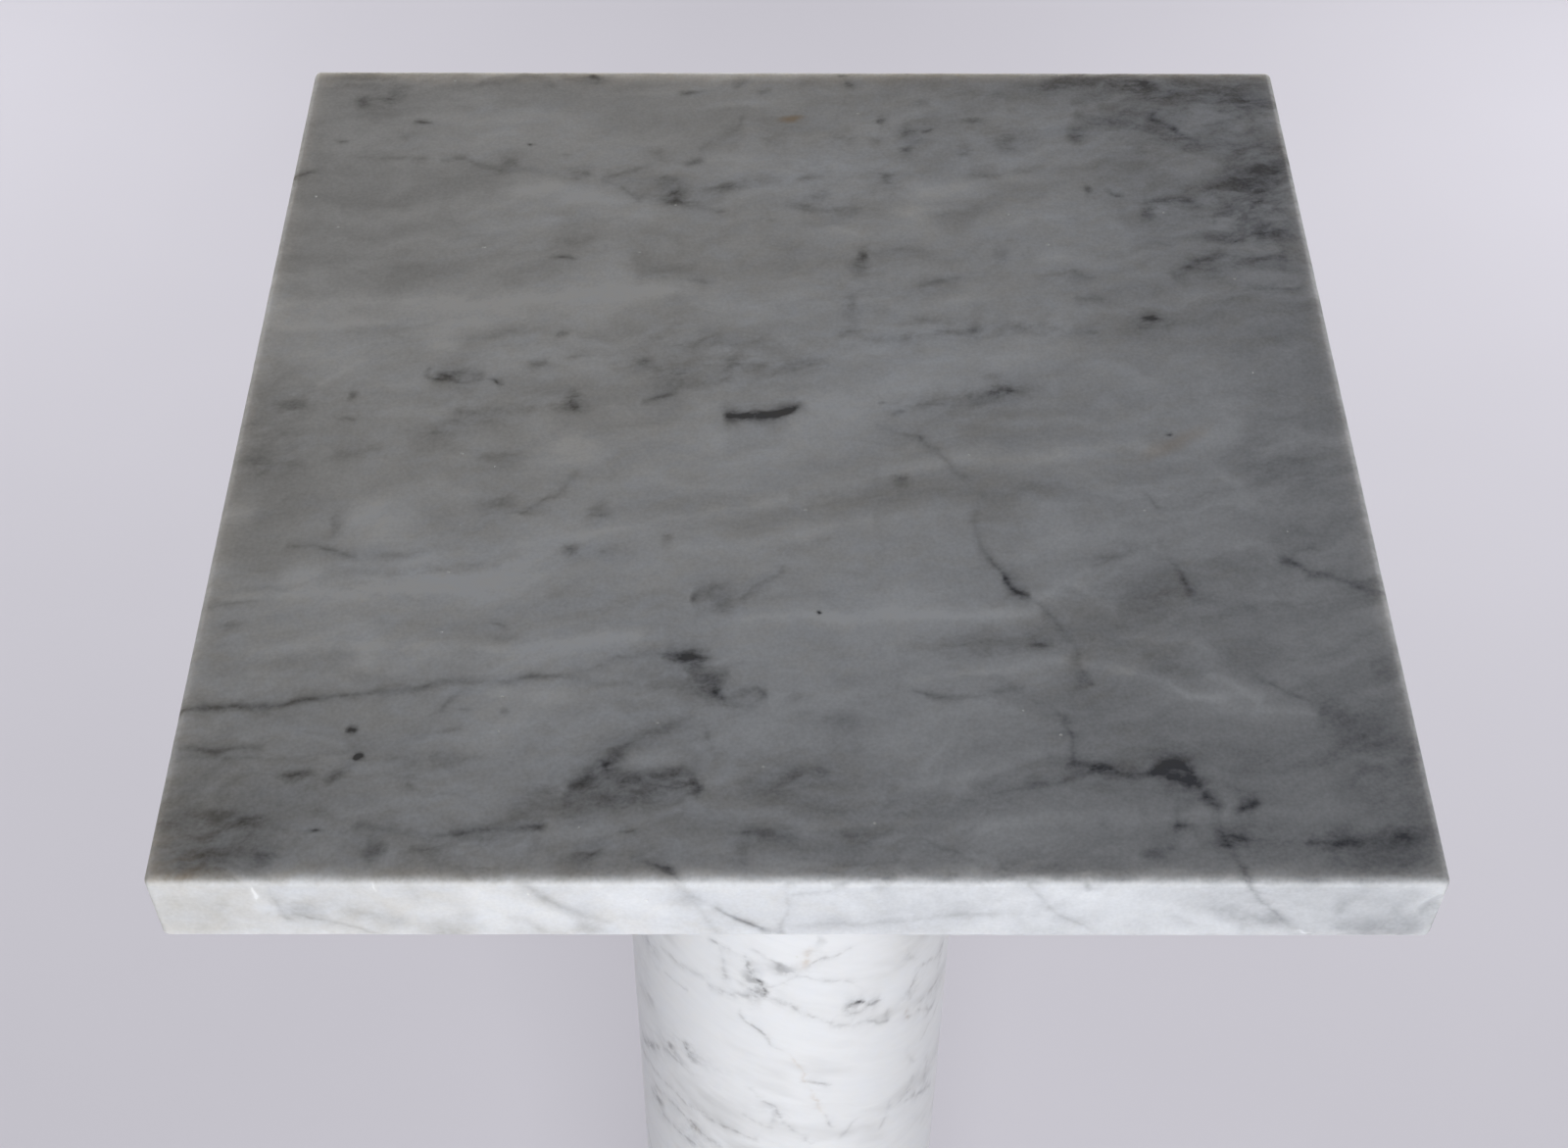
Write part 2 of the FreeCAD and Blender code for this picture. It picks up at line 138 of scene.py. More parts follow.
# A line is (width, (x, y, strength), ...) on the top face, seen from above. A strength below 0 is a light line.
SLAB_LINES = (
    # The dark dash near the middle.
    (1.3, (-18.5, -1, 2.4), (-15, -1.2, 2.6), (-8, -0.8, 2.4), (-4, 0.6, 2.5), (-1, 2.2, 2.2), (1, 3, 0.8),
     (3, 3.2, 0.1)),
    # The long vein on the left, the knot at its end and the marks in front of them.
    (1.0, (-150, -101.5, 0.8), (-130, -99.5, 0.95), (-115, -97, 0.8), (-100, -95, 0.75), (-85, -93, 0.6),
     (-75, -91.5, 0.7), (-65, -90.5, 0.85), (-58, -91, 0.6), (-50, -92, 0.35), (-40, -93, 0.15)),
    (1.0, (-55, -89.5, 0.2), (-50, -87, 0.45), (-45, -85, 0.5), (-38, -84, 0.6), (-32, -84.4, 0.8)),
    (2.0, (-31, -84.4, 0.8), (-27, -85, 0.9), (-22, -84, 0.5)),
    (2.2, (-25, -87, 0.3), (-20, -93, 0.4), (-17, -97.5, 0.6), (-16, -100, 0.3)),
    (0.9, (-13, -95, 0.4), (-9, -94.3, 0.6), (-7, -96.5, 0.5)),
    (1.0, (-14, -100, 0.4), (-10, -100, 0.5), (-7.5, -97, 0.5)),
    (0.8, (-82, -95, 0.5), (-86, -99, 0.5), (-87, -102, 0.4)),
    (1.0, (-109, -123, 0.4), (-108, -120.5, 0.7), (-105, -118, 0.6)),
    (1.0, (-148, -112, 0.5), (-139, -113, 0.8), (-128, -112, 0.4)),
    (0.7, (-146, -115, 0.3), (-125, -115.5, 0.3), (-105, -113.5, 0.2)), (0.8, (-95, -111, 0.3), (-82, -107, 0.4)),
    (1.7, (-54, -125, 0.4), (-49, -119, 0.5), (-44, -114, 0.6), (-38, -109, 0.5), (-32, -107, 0.45),
     (-26, -104.5, 0.3)), (0.8, (-47, -115, 0.5), (-45, -118, 0.8), (-44.5, -120, 0.4)),
    (0.6, (-23.5, -106, 0.3), (-21, -111, 0.4)), (1.8, (-42, -122, 0.3), (-32, -121, 0.45), (-24, -119.5, 0.4)),
    (1.6, (-36, -127, 0.3), (-24, -123.5, 0.6)),
    (0.9, (-103, -135, 0.4), (-92, -136, 0.4), (-78, -136.4, 0.8), (-68, -135.5, 0.5), (-59.5, -135.3, 1.0)),
    (0.9, (-38, -143.5, 0.4), (-33, -144.5, 0.5), (-29, -145.5, 1.0), (-27, -148, 0.7)),
    (1.4, (-12, -144.5, 0.3), (-13.5, -141, 0.4), (-12, -137, 0.35)), (1.2, (-12, -137, 0.3), (0, -136, 0.25)),
    # The crack right of the middle, and the dark knot in front of it with its branches.
    (0.8, (50, -29, 0.2), (47, -38, 0.4), (48, -47, 0.45), (50, -54, 0.7), (53, -59.5, 0.9)),
    (1.1, (53, -60, 1.3), (55, -61.3, 1.7), (58, -63.7, 1.1)),
    (0.8, (59, -65, 0.6), (62, -68, 0.5), (65, -73, 0.45), (67, -78, 0.4), (69, -86, 0.25), (72, -92, 0.2)),
    (0.8, (64, -101, 0.4), (65.5, -105, 0.5), (67, -110, 0.5), (66.5, -117, 0.7)),
    (1.2, (66.5, -118, 0.5), (70, -119.3, 0.9), (73, -120, 1.2), (76, -120.6, 0.8), (80, -120.6, 0.4)),
    (0.9, (44, -125.5, 0.2), (55, -122.5, 0.45), (65, -121.3, 0.4), (72, -120.6, 0.4)),
    (1.0, (79, -119.3, 0.4), (84, -119.6, 0.9), (88, -120.8, 1.2), (93, -122.5, 1.2)),
    (1.5, (83, -118.6, 0.3), (87, -117.9, 0.9), (90.5, -117.2, 1.4), (93, -120.5, 1.4), (96, -124.5, 0.9),
     (98, -128, 0.7)), (1.2, (96, -128.5, 0.8), (98.5, -130.5, 0.8)),
    (1.1, (103, -130.5, 0.9), (106, -129.3, 1.0), (108, -127.5, 0.5)),
    (1.2, (80, -141.8, 0.4), (84, -141, 0.7), (88, -140, 0.3)), (1.1, (89, -134.5, 0.7), (93, -136.3, 0.4)),
    (1.1, (98, -137, 0.7), (101, -138, 1.0), (104, -138.5, 0.5)),
    (1.4, (104, -138.6, 0.3), (115, -137, 0.35), (122, -139.8, 0.5), (130, -140, 0.4), (143, -137.5, 0.35)),
    (0.9, (99, -139, 0.7), (101, -144, 0.7), (103, -150, 0.6), (106, -162, 0.5)),
    # The back left.
    (1.0, (-134, 107, 0.25), (-125, 107.4, 0.4), (-112, 107, 0.35)),
    (1.1, (-105.5, 106, 0.5), (-100, 107, 0.8), (-97, 106.2, 0.9), (-93, 103, 0.5), (-88, 102, 0.5),
     (-83, 103, 0.6), (-79, 101.3, 0.5), (-72, 100, 0.3)),
    (1.3, (-150, 98.2, 1.2), (-147.5, 98.4, 0.9), (-144, 100.5, 0.6), (-140, 100.5, 0.4)),
    (0.8, (-56, 98, 0.4), (-50, 100.5, 0.5), (-43, 103.3, 0.4)),
    (0.8, (-56, 97, 0.3), (-51, 92, 0.5), (-46, 88.5, 0.5)),
    (2.2, (-39.5, 97.5, 0.6), (-37.5, 93, 0.6), (-33.5, 88, 0.7)),
    (1.2, (-46, 88.5, 0.4), (-38, 87.5, 0.6), (-22, 83.5, 0.5)),
    (2.0, (-38.5, 112, 0.3), (-40, 109, 0.45), (-39, 105.5, 0.3)),
    (1.3, (-28, 112, 0.3), (-24, 116, 0.35), (-18, 119.5, 0.35), (-15, 125, 0.4)),
    (0.6, (-68.5, 63.5, 0.4), (-66, 62.4, 0.9), (-63.2, 61, 0.5)),
    # The middle and the left.
    (1.6, (-45, 55, 0.5), (-40, 57.5, 0.35), (-28, 60, 0.25)),
    (1.1, (-29, 53.6, 0.3), (-25.5, 52.8, 0.8), (-22.5, 52.2, 0.3)),
    (0.8, (-101.5, 17.5, 0.8), (-101.3, 14.5, 0.9), (-99.5, 12.7, 0.7)),
    (0.8, (-99.5, 12.5, 0.7), (-95, 12.8, 0.5), (-90, 12, 0.6), (-85, 13, 0.4)),
    (1.1, (-98, 15, 0.8), (-95, 14, 0.8), (-91, 16, 0.6), (-88, 15, 0.5), (-85.5, 14.5, 0.5)),
    (0.35, (-82.3, 13, 1.6), (-80.6, 11.6, 1.8)), (0.9, (-39.5, 4, 0.5), (-36, 5.5, 0.9), (-32, 7.2, 0.5)),
    (0.8, (-71, -36, 0.8), (-68, -34.6, 0.7), (-66.5, -32, 0.6), (-63, -30, 0.5), (-57, -21, 0.3)),
    (0.9, (-130, -48, 0.4), (-124, -48, 0.6), (-121, -50.3, 0.9), (-117, -51.5, 0.6), (-113.5, -53, 0.7)),
    (1.0, (-13, -66, 0.5), (-9, -61, 0.7), (-5, -58, 0.6), (-3, -54.5, 0.7)),
    (1.5, (-25.5, -65, 0.9), (-23, -62.5, 0.5), (-20, -62, 0.4)),
    (1.6, (-18, -61, 0.4), (-18.5, -66, 0.5), (-20, -71, 0.4)),
    # The right, and then the back right.
    (0.8, (29, -94.5, 0.4), (34, -96.3, 0.8), (42, -96.8, 0.5), (49, -95.5, 0.5), (55, -94.3, 0.3)),
    (0.8, (97, -54, 0.4), (99, -60, 0.6), (102, -65.3, 0.6)),
    (1.1, (103, -66.3, 0.5), (109, -67.5, 0.4), (116, -68, 0.5)),
    (1.0, (124.5, -53, 0.7), (130, -56, 1.0), (138, -58.5, 0.4), (143, -61, 0.6), (150, -62.5, 0.5)),
    (0.6, (91.5, -31, 0.5), (94, -34, 0.4)), (0.9, (77, -52, 0.3), (94, -47, 0.3)),
    (0.8, (111, -90, 0.3), (124, -98, 0.4)), (0.8, (23, -4, 0.3), (28, -7.5, 0.35), (33, -10.5, 0.45)),
    (0.8, (33, -10.5, 0.45), (38, -16, 0.4), (42, -21, 0.5), (47, -24, 0.3)),
    (1.3, (105.5, 88.3, 0.5), (108, 88, 0.8), (113, 88, 0.6), (117, 88, 0.9), (121, 86, 0.5)),
    (1.6, (87, 127, 0.4), (95, 125.5, 0.4), (105, 122, 0.4), (113, 118, 0.35)),
    (1.1, (112, 130, 0.4), (109.6, 126.5, 0.6)),
    (1.1, (109.6, 125.5, 0.6), (113, 122.8, 0.6), (116, 120.7, 1.2), (120, 118.3, 0.7), (124, 115, 0.6)),
    (1.6, (109, 55, 0.4), (113, 57.5, 0.7), (117, 61, 0.7), (121, 62.8, 0.6), (130, 63, 0.4), (142, 62, 0.5)),
    (1.0, (130, 49.5, 0.3), (135, 50, 0.5), (141, 49.7, 0.5), (146, 51, 0.3)),
    (1.1, (36.5, 50.5, 0.4), (41, 52.8, 0.7), (46.5, 54.2, 0.5)), (0.8, (80, 45.7, 0.4), (88, 45, 0.4)),
    (1.5, (-93, 143, 0.2), (-85, 145.8, 0.4), (-79, 146.8, 0.5), (-75, 144.8, 0.5)),
    # Light streaks.
    (1.6, (-145, -66.4, -0.3), (-125, -64, -0.45), (-100, -62.2, -0.5), (-82, -60.8, -0.4), (-65, -58.5, -0.2)),
    (1.5, (-135, -83, -0.2), (-115, -80.5, -0.35), (-100, -80, -0.25), (-77, -82.3, -0.4), (-60, -80, -0.4),
     (-38, -77.5, -0.5)),
    (1.4, (-70, -47, -0.2), (-52, -43.5, -0.4), (-38, -41, -0.35), (-22, -37, -0.4), (-12, -34, -0.4),
     (-2, -30, -0.4)),
    (1.5, (-24, -73, -0.2), (0, -71, -0.45), (20, -70, -0.5), (40, -71.5, -0.5), (55, -70, -0.5),
     (61, -68.5, -0.3)),
    (1.3, (60, -66, -0.3), (66, -63, -0.5), (71, -60.5, -0.5), (76, -63.5, -0.4), (79, -68, -0.3)),
    (1.3, (28, -91.5, -0.25), (45, -89.5, -0.35), (65, -84.5, -0.4)),
    (1.1, (69, -85, -0.3), (76, -88, -0.4), (85, -90, -0.45), (92, -94, -0.5), (97, -97.5, -0.5),
     (104, -98.2, -0.4), (107, -98.8, -0.3)),
    (1.4, (80, -79, -0.3), (92, -78, -0.3), (100, -77.5, -0.4), (103, -82, -0.3)),
    (1.1, (102.5, -90, -0.4), (112, -96.5, -0.4)), (1.3, (24, -124, -0.25), (45, -118.3, -0.3), (65, -112, -0.2)),
    (1.5, (112, -100, -0.3), (125, -102, -0.35)),
    (1.6, (0, -136, -0.2), (25, -134, -0.3), (70, -131.5, -0.25), (100, -132.5, -0.3)),
    (1.6, (97, -54, -0.2), (112, -48.5, -0.3), (122, -48, -0.25)), (1.4, (0, -44, -0.3), (20, -38.5, -0.25)),
    (1.8, (24, -22, -0.3), (45, -19, -0.25), (72, -15, -0.35), (90, -12, -0.3), (110, -20, -0.3), (118, -28, -0.3)),
    (2.2, (-150, 43.5, -0.25), (-120, 43.5, -0.4), (-85, 44.5, -0.4), (-60, 47, -0.3), (-35, 50, -0.2)),
    (1.6, (-145, 33, -0.25), (-120, 34, -0.35), (-95, 35, -0.3), (-75, 38, -0.2)),
    (1.8, (95, 63, -0.2), (115, 67.5, -0.3), (140, 66.5, -0.3)), (0.8, (-130, 12, -0.3), (-119, 19, -0.3)),
)
# A smudge is (x, y, half its length, half its width, tilt in degrees, strength), or light below 0.
SLAB_SMUDGES = (
    (116, -127, 26, 15, 0, -0.17),
    # The back right and the back, then row by row to the front.
    (115, 142, 38, 8, -3, 0.3), (108, 144, 8, 1.5, -2, 0.4), (84, 143, 14, 3, 0, 0.2), (138, 134, 12, 8, -5, 0.25),
    (138, 99, 15, 8, 12, 0.4), (137, 84, 14, 8, 5, 0.35), (142, 74, 10, 4, 0, 0.35), (125, 70, 7, 2, 0, 0.5),
    (132, 78, 10, 5, -20, 0.3), (112, 82, 10, 3, 0, 0.25), (127, 58, 15, 4, 0, 0.2), (-128, 134, 8, 7, 0, 0.3),
    (-122, 139, 5, 2.5, 20, 0.45), (-133, 133, 3, 3, 0, 0.4), (-135, 145, 12, 4, 5, 0.3),
    (-97, 130, 9, 3, -10, 0.2), (-95, 143, 5, 2, 10, 0.3), (-65, 147, 9, 2.5, 0, 0.4), (-62, 147.5, 2, 1.5, 0, 0.5),
    (-112, 147, 12, 3, 0, 0.2), (-31, 138.8, 5, 1.3, 6, 0.8), (-17, 143, 2.6, 1.5, 30, 0.6),
    (-10, 139, 2.4, 1.4, 20, 0.5), (17.8, 143, 2.5, 2, 0, 0.5), (15.5, 147.3, 1.6, 0.8, 0, 0.6),
    (5, 144, 6, 2.5, 0, 0.25), (40, 134, 3, 2, 0, 0.35), (56, 126, 4, 1.6, -15, 0.5), (35, 118, 3, 7, 0, 0.5),
    (41, 121.3, 2, 1, 20, 0.5), (33.5, 111, 2.5, 1.8, 0, 0.6), (65, 115, 4, 7, 0, 0.4), (52, 110, 3, 2.5, 0, 0.5),
    (86, 117, 4, 4, 0, 0.4), (14, 116, 4, 3, 0, 0.35), (24, 116, 2.5, 2, 0, 0.3), (26.5, 125, 2, 1.6, 0, 0.8),
    (56, 100, 7, 2, 0, 0.4), (28, 97, 2.5, 5, 0, 0.5), (8, 99, 6, 2, 8, 0.4), (2, 98, 3, 2, 0, 0.4),
    (72, 102, 5, 1.5, 0, 0.25), (-5, 116, 6, 3, 0, 0.25), (-113, 123.5, 2.6, 1.3, 5, 1.1),
    (-79.5, 114, 1.1, 0.9, 0, 1.2), (-138, 115.3, 3, 1.2, 0, 0.9), (-146, 117, 4, 3, 0, 0.35),
    (-117, 117, 3, 1.5, 0, 0.25), (-85, 106, 4, 2.5, 0, 0.4), (-66, 99, 6.5, 2.4, 4, 0.6),
    (-30, 105.5, 4, 1.5, 8, 0.7), (-69, 107.5, 1.3, 0.9, 0, 0.4), (-36, 92, 3, 6, 0, 0.45),
    (-15, 95, 14, 2.5, 9, 0.35), (-18, 94.5, 5, 1.5, 12, 0.3), (-64, 98.8, 4, 1.5, 0, 0.4),
    (7, 90.5, 5, 1.6, 12, 0.6), (2, 85, 5, 2, 0, 0.45), (12, 84, 8, 3, 8, 0.3), (88, 92, 2.6, 1.4, 0, 0.7),
    (96, 91, 3.4, 1.4, -10, 0.7), (105, 83, 3, 2, 20, 0.45), (82, 81, 4, 2, 0, 0.35), (55, 84, 3, 4, 0, 0.25),
    (30, 66, 10, 2, 0, 0.25), (60, 63, 3, 3, 0, 0.4), (83, 54.5, 4, 1.6, -5, 0.6), (78, 56, 8, 1.6, 8, 0.3),
    (101, 38, 3.4, 1.2, 0, 0.7), (101, 38, 8, 4, 0, 0.3), (19, 58, 2.5, 6, 0, 0.45), (16, 42, 2.2, 8, 0, 0.45),
    (20, 64, 2.2, 2, 0, 0.6), (15, 32, 4, 2, 10, 0.5), (27, 29, 11, 2.6, 4, 0.45), (50, 32, 3, 1.8, 0, 0.6),
    (66, 32.5, 12, 2.6, 3, 0.4), (45, 31, 9, 2, 5, 0.35), (82, 33, 4, 1.4, 0, 0.4), (4, 19, 6, 2.4, 18, 0.5),
    (36, 38, 4, 1.2, -15, 0.3), (34, 3.5, 10, 2.4, 4, 0.4), (58, 9, 11, 2, 10, 0.6), (48, 6, 14, 3.4, 9, 0.4),
    (24, 4, 1.6, 0.8, 0, 0.7), (29, -0.8, 2, 1, 0, 0.7), (59, 8.5, 1.8, 1, 0, 0.5), (56, 14, 5, 1.4, 0, 0.3),
    (-110, 57, 16, 5, 5, 0.15), (-146, 56, 6, 3, 0, 0.2), (-92, 73, 8, 2, 8, 0.2), (-62, 70, 10, 3, 5, 0.15),
    (-70, 80, 16, 3, 5, 0.15), (-65.5, 31.6, 2.6, 1.4, 8, 0.7), (-80, 30.5, 12, 2, 8, 0.3),
    (-120, 31, 20, 3, 3, 0.2), (-71, 20, 3, 2, 10, 0.5), (-60, 22.5, 4, 1.2, 8, 0.4), (-43, 19, 5, 1.6, -4, 0.55),
    (-34, 16, 7, 2, 0, 0.35), (-14, 18.5, 7, 1.8, 0, 0.6), (-12, 15, 14, 3, 3, 0.3), (-2, 17.5, 3, 1.5, 0, 0.4),
    (-30, 11, 14, 3, 8, 0.3), (-93, 14.5, 9, 3.5, 0, 0.35), (-22, 27, 20, 3, 6, 0.2), (-46, 31, 16, 3, 5, 0.15),
    (-61, 4, 2.4, 5, 0, 0.8), (-61, 3, 6, 5, 0, 0.25), (-87, -1, 10, 3, 14, 0.55), (-97, -8, 9, 4, 25, 0.35),
    (-72, 3, 10, 3, 14, 0.35), (-78, -16, 7, 2.4, 8, 0.3), (-121, 6, 1.8, 1.4, 0, 0.9), (-138, 3, 8, 3, -4, 0.4),
    (-121, -3, 3, 1, 0, 0.35), (-142, -8, 10, 7, 0, 0.2), (-142, -19, 14, 3, 6, 0.35), (-115, -14, 10, 2, 12, 0.3),
    (-79, -33, 6, 3, 5, 0.4), (-51, -35, 4, 3.4, 0, 0.4), (-50, -37, 1.6, 0.9, 0, 0.6),
    (-119.5, -41, 1.8, 6, 0, 0.5), (-102, -51, 14, 1.6, 10, 0.35), (-58, -50, 3, 2, 0, 0.6),
    (-52, -50, 11, 2.4, 0, 0.3), (-100, -57, 24, 2.4, 6, 0.25), (-80, -53, 14, 2, 6, 0.2),
    (-141, -67.5, 9, 1.2, 10, 0.4), (-142, -75, 5, 1.4, 10, 0.35), (-74.5, -74, 3, 1.2, -20, 0.5),
    (-72, -78, 6, 1.4, 0, 0.2), (-34, -46.5, 2, 2, 0, 0.35), (-19, -66, 5, 5, 0, 0.3), (-45, -68, 18, 4, 5, 0.15),
    (-26.5, -84.5, 6, 2.6, -4, 0.5), (-20, -93, 5, 8, 0, 0.4), (-18.5, -96, 2, 1.5, 0, 0.6),
    (-30, -92, 14, 5, 0, 0.25), (-107.3, -107, 1.4, 1, -20, 1.6), (-104, -116, 1.4, 1.1, 20, 1.9),
    (-81, -102, 2, 0.8, 0, 0.5), (-71, -101, 1.4, 1, 0, 0.5), (-118, -120, 4, 1.8, -5, 0.5),
    (-93, -117, 5, 3, 0, 0.25), (-82, -116, 7, 3, 0, 0.3), (-91, -123, 2, 3, 0, 0.3), (-58, -104, 8, 4, 20, 0.2),
    (-48, -120, 8, 5, 30, 0.35), (-33, -121, 12, 3.4, 2, 0.35), (-23, -123, 2, 1.5, 0, 0.6),
    (-38, -128, 12, 2.4, 2, 0.35), (-7, -122, 8, 2.4, 5, 0.35), (-60, -126, 8, 4, 10, 0.2),
    (-135, -141, 14, 8, 0, 0.4), (-144, -134, 3, 4, 0, 0.3), (-123, -144, 4, 3.4, 0, 0.5),
    (-132, -133, 10, 2, 0, 0.3), (-113, -135.3, 2.2, 1, 0, 1.1), (-98, -141.5, 3, 2.4, 0, 0.4),
    (-74, -139.5, 18, 2.4, 0, 0.35), (-49, -139, 4, 2, 30, 0.35), (-40, -136.5, 3, 1, 0, 0.4),
    (-72, -147, 12, 3, 0, 0.25), (-48, -142, 3, 1.6, 25, 0.4), (45, -81, 18, 3, 5, 0.3), (60, -80.5, 3, 2, 0, 0.45),
    (70, -91, 3, 3, 0, 0.3), (92, -88, 8, 3, 0, 0.2), (12, -105, 6, 3, 0, 0.2), (0, -98, 3, 3, 0, 0.3),
    (1, -121, 3, 4, 0, 0.35), (6, -120, 2, 2, 0, 0.3), (105, -126, 10, 6, 0, 0.2), (140, -118, 14, 12, 0, 0.2),
    (130, -101, 6, 4, -20, 0.3), (146, -88, 5, 4, 0, 0.3), (125, -139, 26, 5, 0, 0.3), (40, -148, 40, 4, 0, 0.25),
    (10, -137, 20, 1.6, 0, 0.25), (35, -141, 16, 1, -25, 0.2), (5, -47, 12, 2.4, 15, 0.2),
    (28, -24, 3, 2.4, 0, 0.45), (90, -63, 14, 6, 0, 0.15), (7, -69.6, 0.8, 0.6, 0, 2), (-7, 79, 1.3, 1, 0, 0.4),
    (64, -26, 8, 3, 0, 0.15), (125, -20, 14, 6, 0, 0.12),
    # Light patches, and the dot on the rusty smear.
    (-62, -13, 12, 8, 0, -0.5), (-108, -38, 11, 6, 0, -0.4), (-145, -36, 6, 5, 0, -0.45),
    (-126, -58, 6, 3, 0, -0.4), (-97, -53, 6, 1.6, 5, -0.3), (-108, -85.5, 5, 2, 0, -0.25),
    (-60, -97, 8, 3.4, 0, -0.3), (-73, -95, 6, 2, 0, -0.3), (-34, -115, 8, 3.4, 8, -0.35),
    (-92, 40, 22, 4, 3, -0.2), (-130, 20, 14, 5, 0, -0.3), (-98, 27, 6, 3, 0, -0.3), (-75, 93, 12, 4, 8, -0.3),
    (-62, 88, 8, 5, 0, -0.25), (-48, 79, 9, 5, 0, -0.2), (-45, 112, 16, 4, 0, -0.2), (35, 82, 8, 4.4, 0, -0.45),
    (45, 93, 14, 4.4, 3, -0.4), (72, 98, 18, 2.4, 2, -0.25), (120, 101, 10, 3, 12, -0.3),
    (-40, 49, 14, 3.4, 4, -0.3), (-22, 45, 10, 4, 3, -0.3), (15, 74, 6, 2.4, -10, -0.3), (45, 44, 14, 3, 10, -0.25),
    (50, 51, 5, 2, 0, -0.2), (132, 56, 10, 2.4, 0, -0.35), (75, 63, 6, 3.4, 0, -0.25), (112, 48, 8, 4, 0, -0.2),
    (-20, 107, 10, 2.4, 0, -0.25), (-12, 132, 14, 5, 5, -0.15), (60, 22, 26, 5, 3, -0.15), (10, -3, 14, 5, 5, -0.2),
    (112, -10, 10, 5, 10, -0.3), (-45, 0, 10, 5, 0, -0.2), (-31, -18, 20, 6, 0, -0.15),
    (100.6, -7.3, 0.9, 0.7, 0, 1.3),
    # Wide darker zones.
    (128, 92, 42, 40, 0, 0.2), (85, 134, 75, 18, 0, 0.16), (132, -35, 24, 50, 0, 0.1), (15, -128, 120, 18, 0, 0.14),
    (-118, -128, 36, 18, 0, 0.18), (30, 102, 45, 15, 3, 0.1), (-42, 95, 28, 9, 4, 0.1), (-28, 22, 48, 7, 7, 0.16),
    (36, 36, 26, 10, 4, 0.12), (-128, 8, 24, 13, 8, 0.1), (-40, -118, 26, 12, 25, 0.1), (19, 55, 6, 16, -8, 0.12),
    (80, -80, 50, 30, 0, 0.06),
)
# On the front edge face a line is (width, (x, depth below the top, strength), ...).
FRONT_LINES = (
    (0.75, (-19, 10.3, 0.7), (-16, 13, 1.1), (-14, 15, 1.2), (-11, 17.8, 1.2), (-7.8, 21, 1.0)),
    (0.8, (-121.5, 4, 0.2), (-120.5, 10, 0.4), (-118.5, 16, 0.4)),
    (0.6, (-117, 13.5, 0.35), (-112, 16.5, 0.4), (-104, 19.5, 0.3), (-98, 22.5, 0.35)),
    (1.2, (-88.5, 0, 0.2), (-87.5, 7, 0.25)), (1.3, (-67, 15, 0.2), (-60, 20, 0.3)),
    (1.3, (-63.5, 0, 0.4), (-60, 5, 0.6), (-55, 9.5, 0.55), (-50, 13.5, 0.35), (-43, 18, 0.2)),
    (1.0, (-28, 1, 0.3), (-26, 5, 0.45), (-22, 8.5, 0.45)),
    (0.9, (-24, 9, 0.2), (-20.5, 15, 0.35), (-18.7, 23, 0.25)),
    (0.7, (-2.5, 5, 0.2), (-2, 9, 0.25), (-3, 16, 0.4), (-4, 21, 0.4)),
    (0.9, (-1, 5.5, 0.3), (4, 4.4, 0.5), (8, 3, 0.3)),
    (1.2, (-1, 19.3, 0.2), (10, 18.2, 0.3), (20, 16.3, 0.3), (30, 14.6, 0.25), (38, 14, 0.3), (52, 13.3, 0.15)),
    (0.8, (53, 1, 0.3), (57, 8, 0.35), (61, 13, 0.35), (66, 17.5, 0.3), (70, 22, 0.2)),
    (0.8, (66.4, -1, 1.0), (67.8, 3, 0.9)),
    (0.8, (102.5, 0, 0.7), (106, 5.5, 0.65), (110, 11, 0.4), (115, 17, 0.4), (120.5, 22.5, 0.45)),
    (2.2, (97, 11.5, 0.2), (104, 14, 0.3), (111, 16, 0.3), (122, 20, 0.15)), (1.0, (86, 14.5, 0.2), (92, 18, 0.25)),
    # Scratches and light streaks.
    (0.28, (-125.4, 3.6, -1.0), (-125.2, 5.8, -1.8)), (0.25, (-97.2, 2, -0.7), (-96.9, 3, -0.7)),
    (0.3, (118.6, 20.6, -0.8), (120, 22, -1.2)), (3.0, (-76, 3, -0.15), (-62, 12, -0.3), (-52, 17, -0.2)),
    (3.0, (-46, 4, -0.1), (-30, 13, -0.2)), (2.5, (88, 13, -0.1), (103, 20, -0.2)),
)
# A smudge there is (x, depth, half its length, half its width, tilt in degrees, strength).
FRONT_SMUDGES = (
    (-115, 12, 6, 2.4, 15, 0.4), (-100, 14, 8, 3, 22, 0.25), (-93, 17, 4, 2, 20, 0.2), (-82, 19, 8, 4.5, 0, 0.25),
    (-77, 14.5, 3, 3, 0, 0.2), (-83, 22.4, 5, 1.4, 0, 0.3), (-49, 20, 5, 3, 20, 0.35), (-51, 12, 3, 4, 0, 0.15),
    (-25.5, 7, 3.4, 4, 0, 0.25), (-5, 21.5, 2.4, 2, 0, 0.35), (-2, 0.6, 2, 1.8, 0, 0.4), (10, 1, 2.4, 1.8, 0, 0.35),
    (19, 1, 3, 1.4, 0, 0.3), (6, 18, 8, 2.6, -6, 0.2), (39, 14, 4, 2, 0, 0.15), (56, 6, 2.4, 2.4, 0, 0.15),
    (126, 8.5, 3, 2.4, -20, 0.3), (126, 11.5, 1.4, 3, 0, 0.25), (106, 15, 9, 3.4, 20, 0.2), (100, 5, 24, 9, 5, 0.2),
    (-140, 12, 16, 14, 0, 0.14), (-106, 12, 18, 11, 0, 0.16), (-118, 3, 12, 5, 0, 0.14),
    (-133.5, 10, 1.4, 2.8, 0, 0.15),
    # Wide zones.
    (24, 9, 26, 9, 0, 0.12), (128, 10, 12, 14, 0, 0.2), (138, 21, 16, 5, 0, 0.4), (143, 12, 7, 12, 0, 0.12),
    (-72, 21, 30, 3, 0, 0.12), (70, 9, 12, 7, 10, -0.1),
)

# ---------------------------------------------------------------- the shaft's markings, in mm

# Arc lengths are measured round the shaft from its front, to the right, at this radius.
SHAFT_MEAN_RADIUS = 57.0
SHAFT_MAP_CORNER, SHAFT_MAP_SIDE = (-180.0, 640.0), 360.0  # the square of arc and height that holds the markings
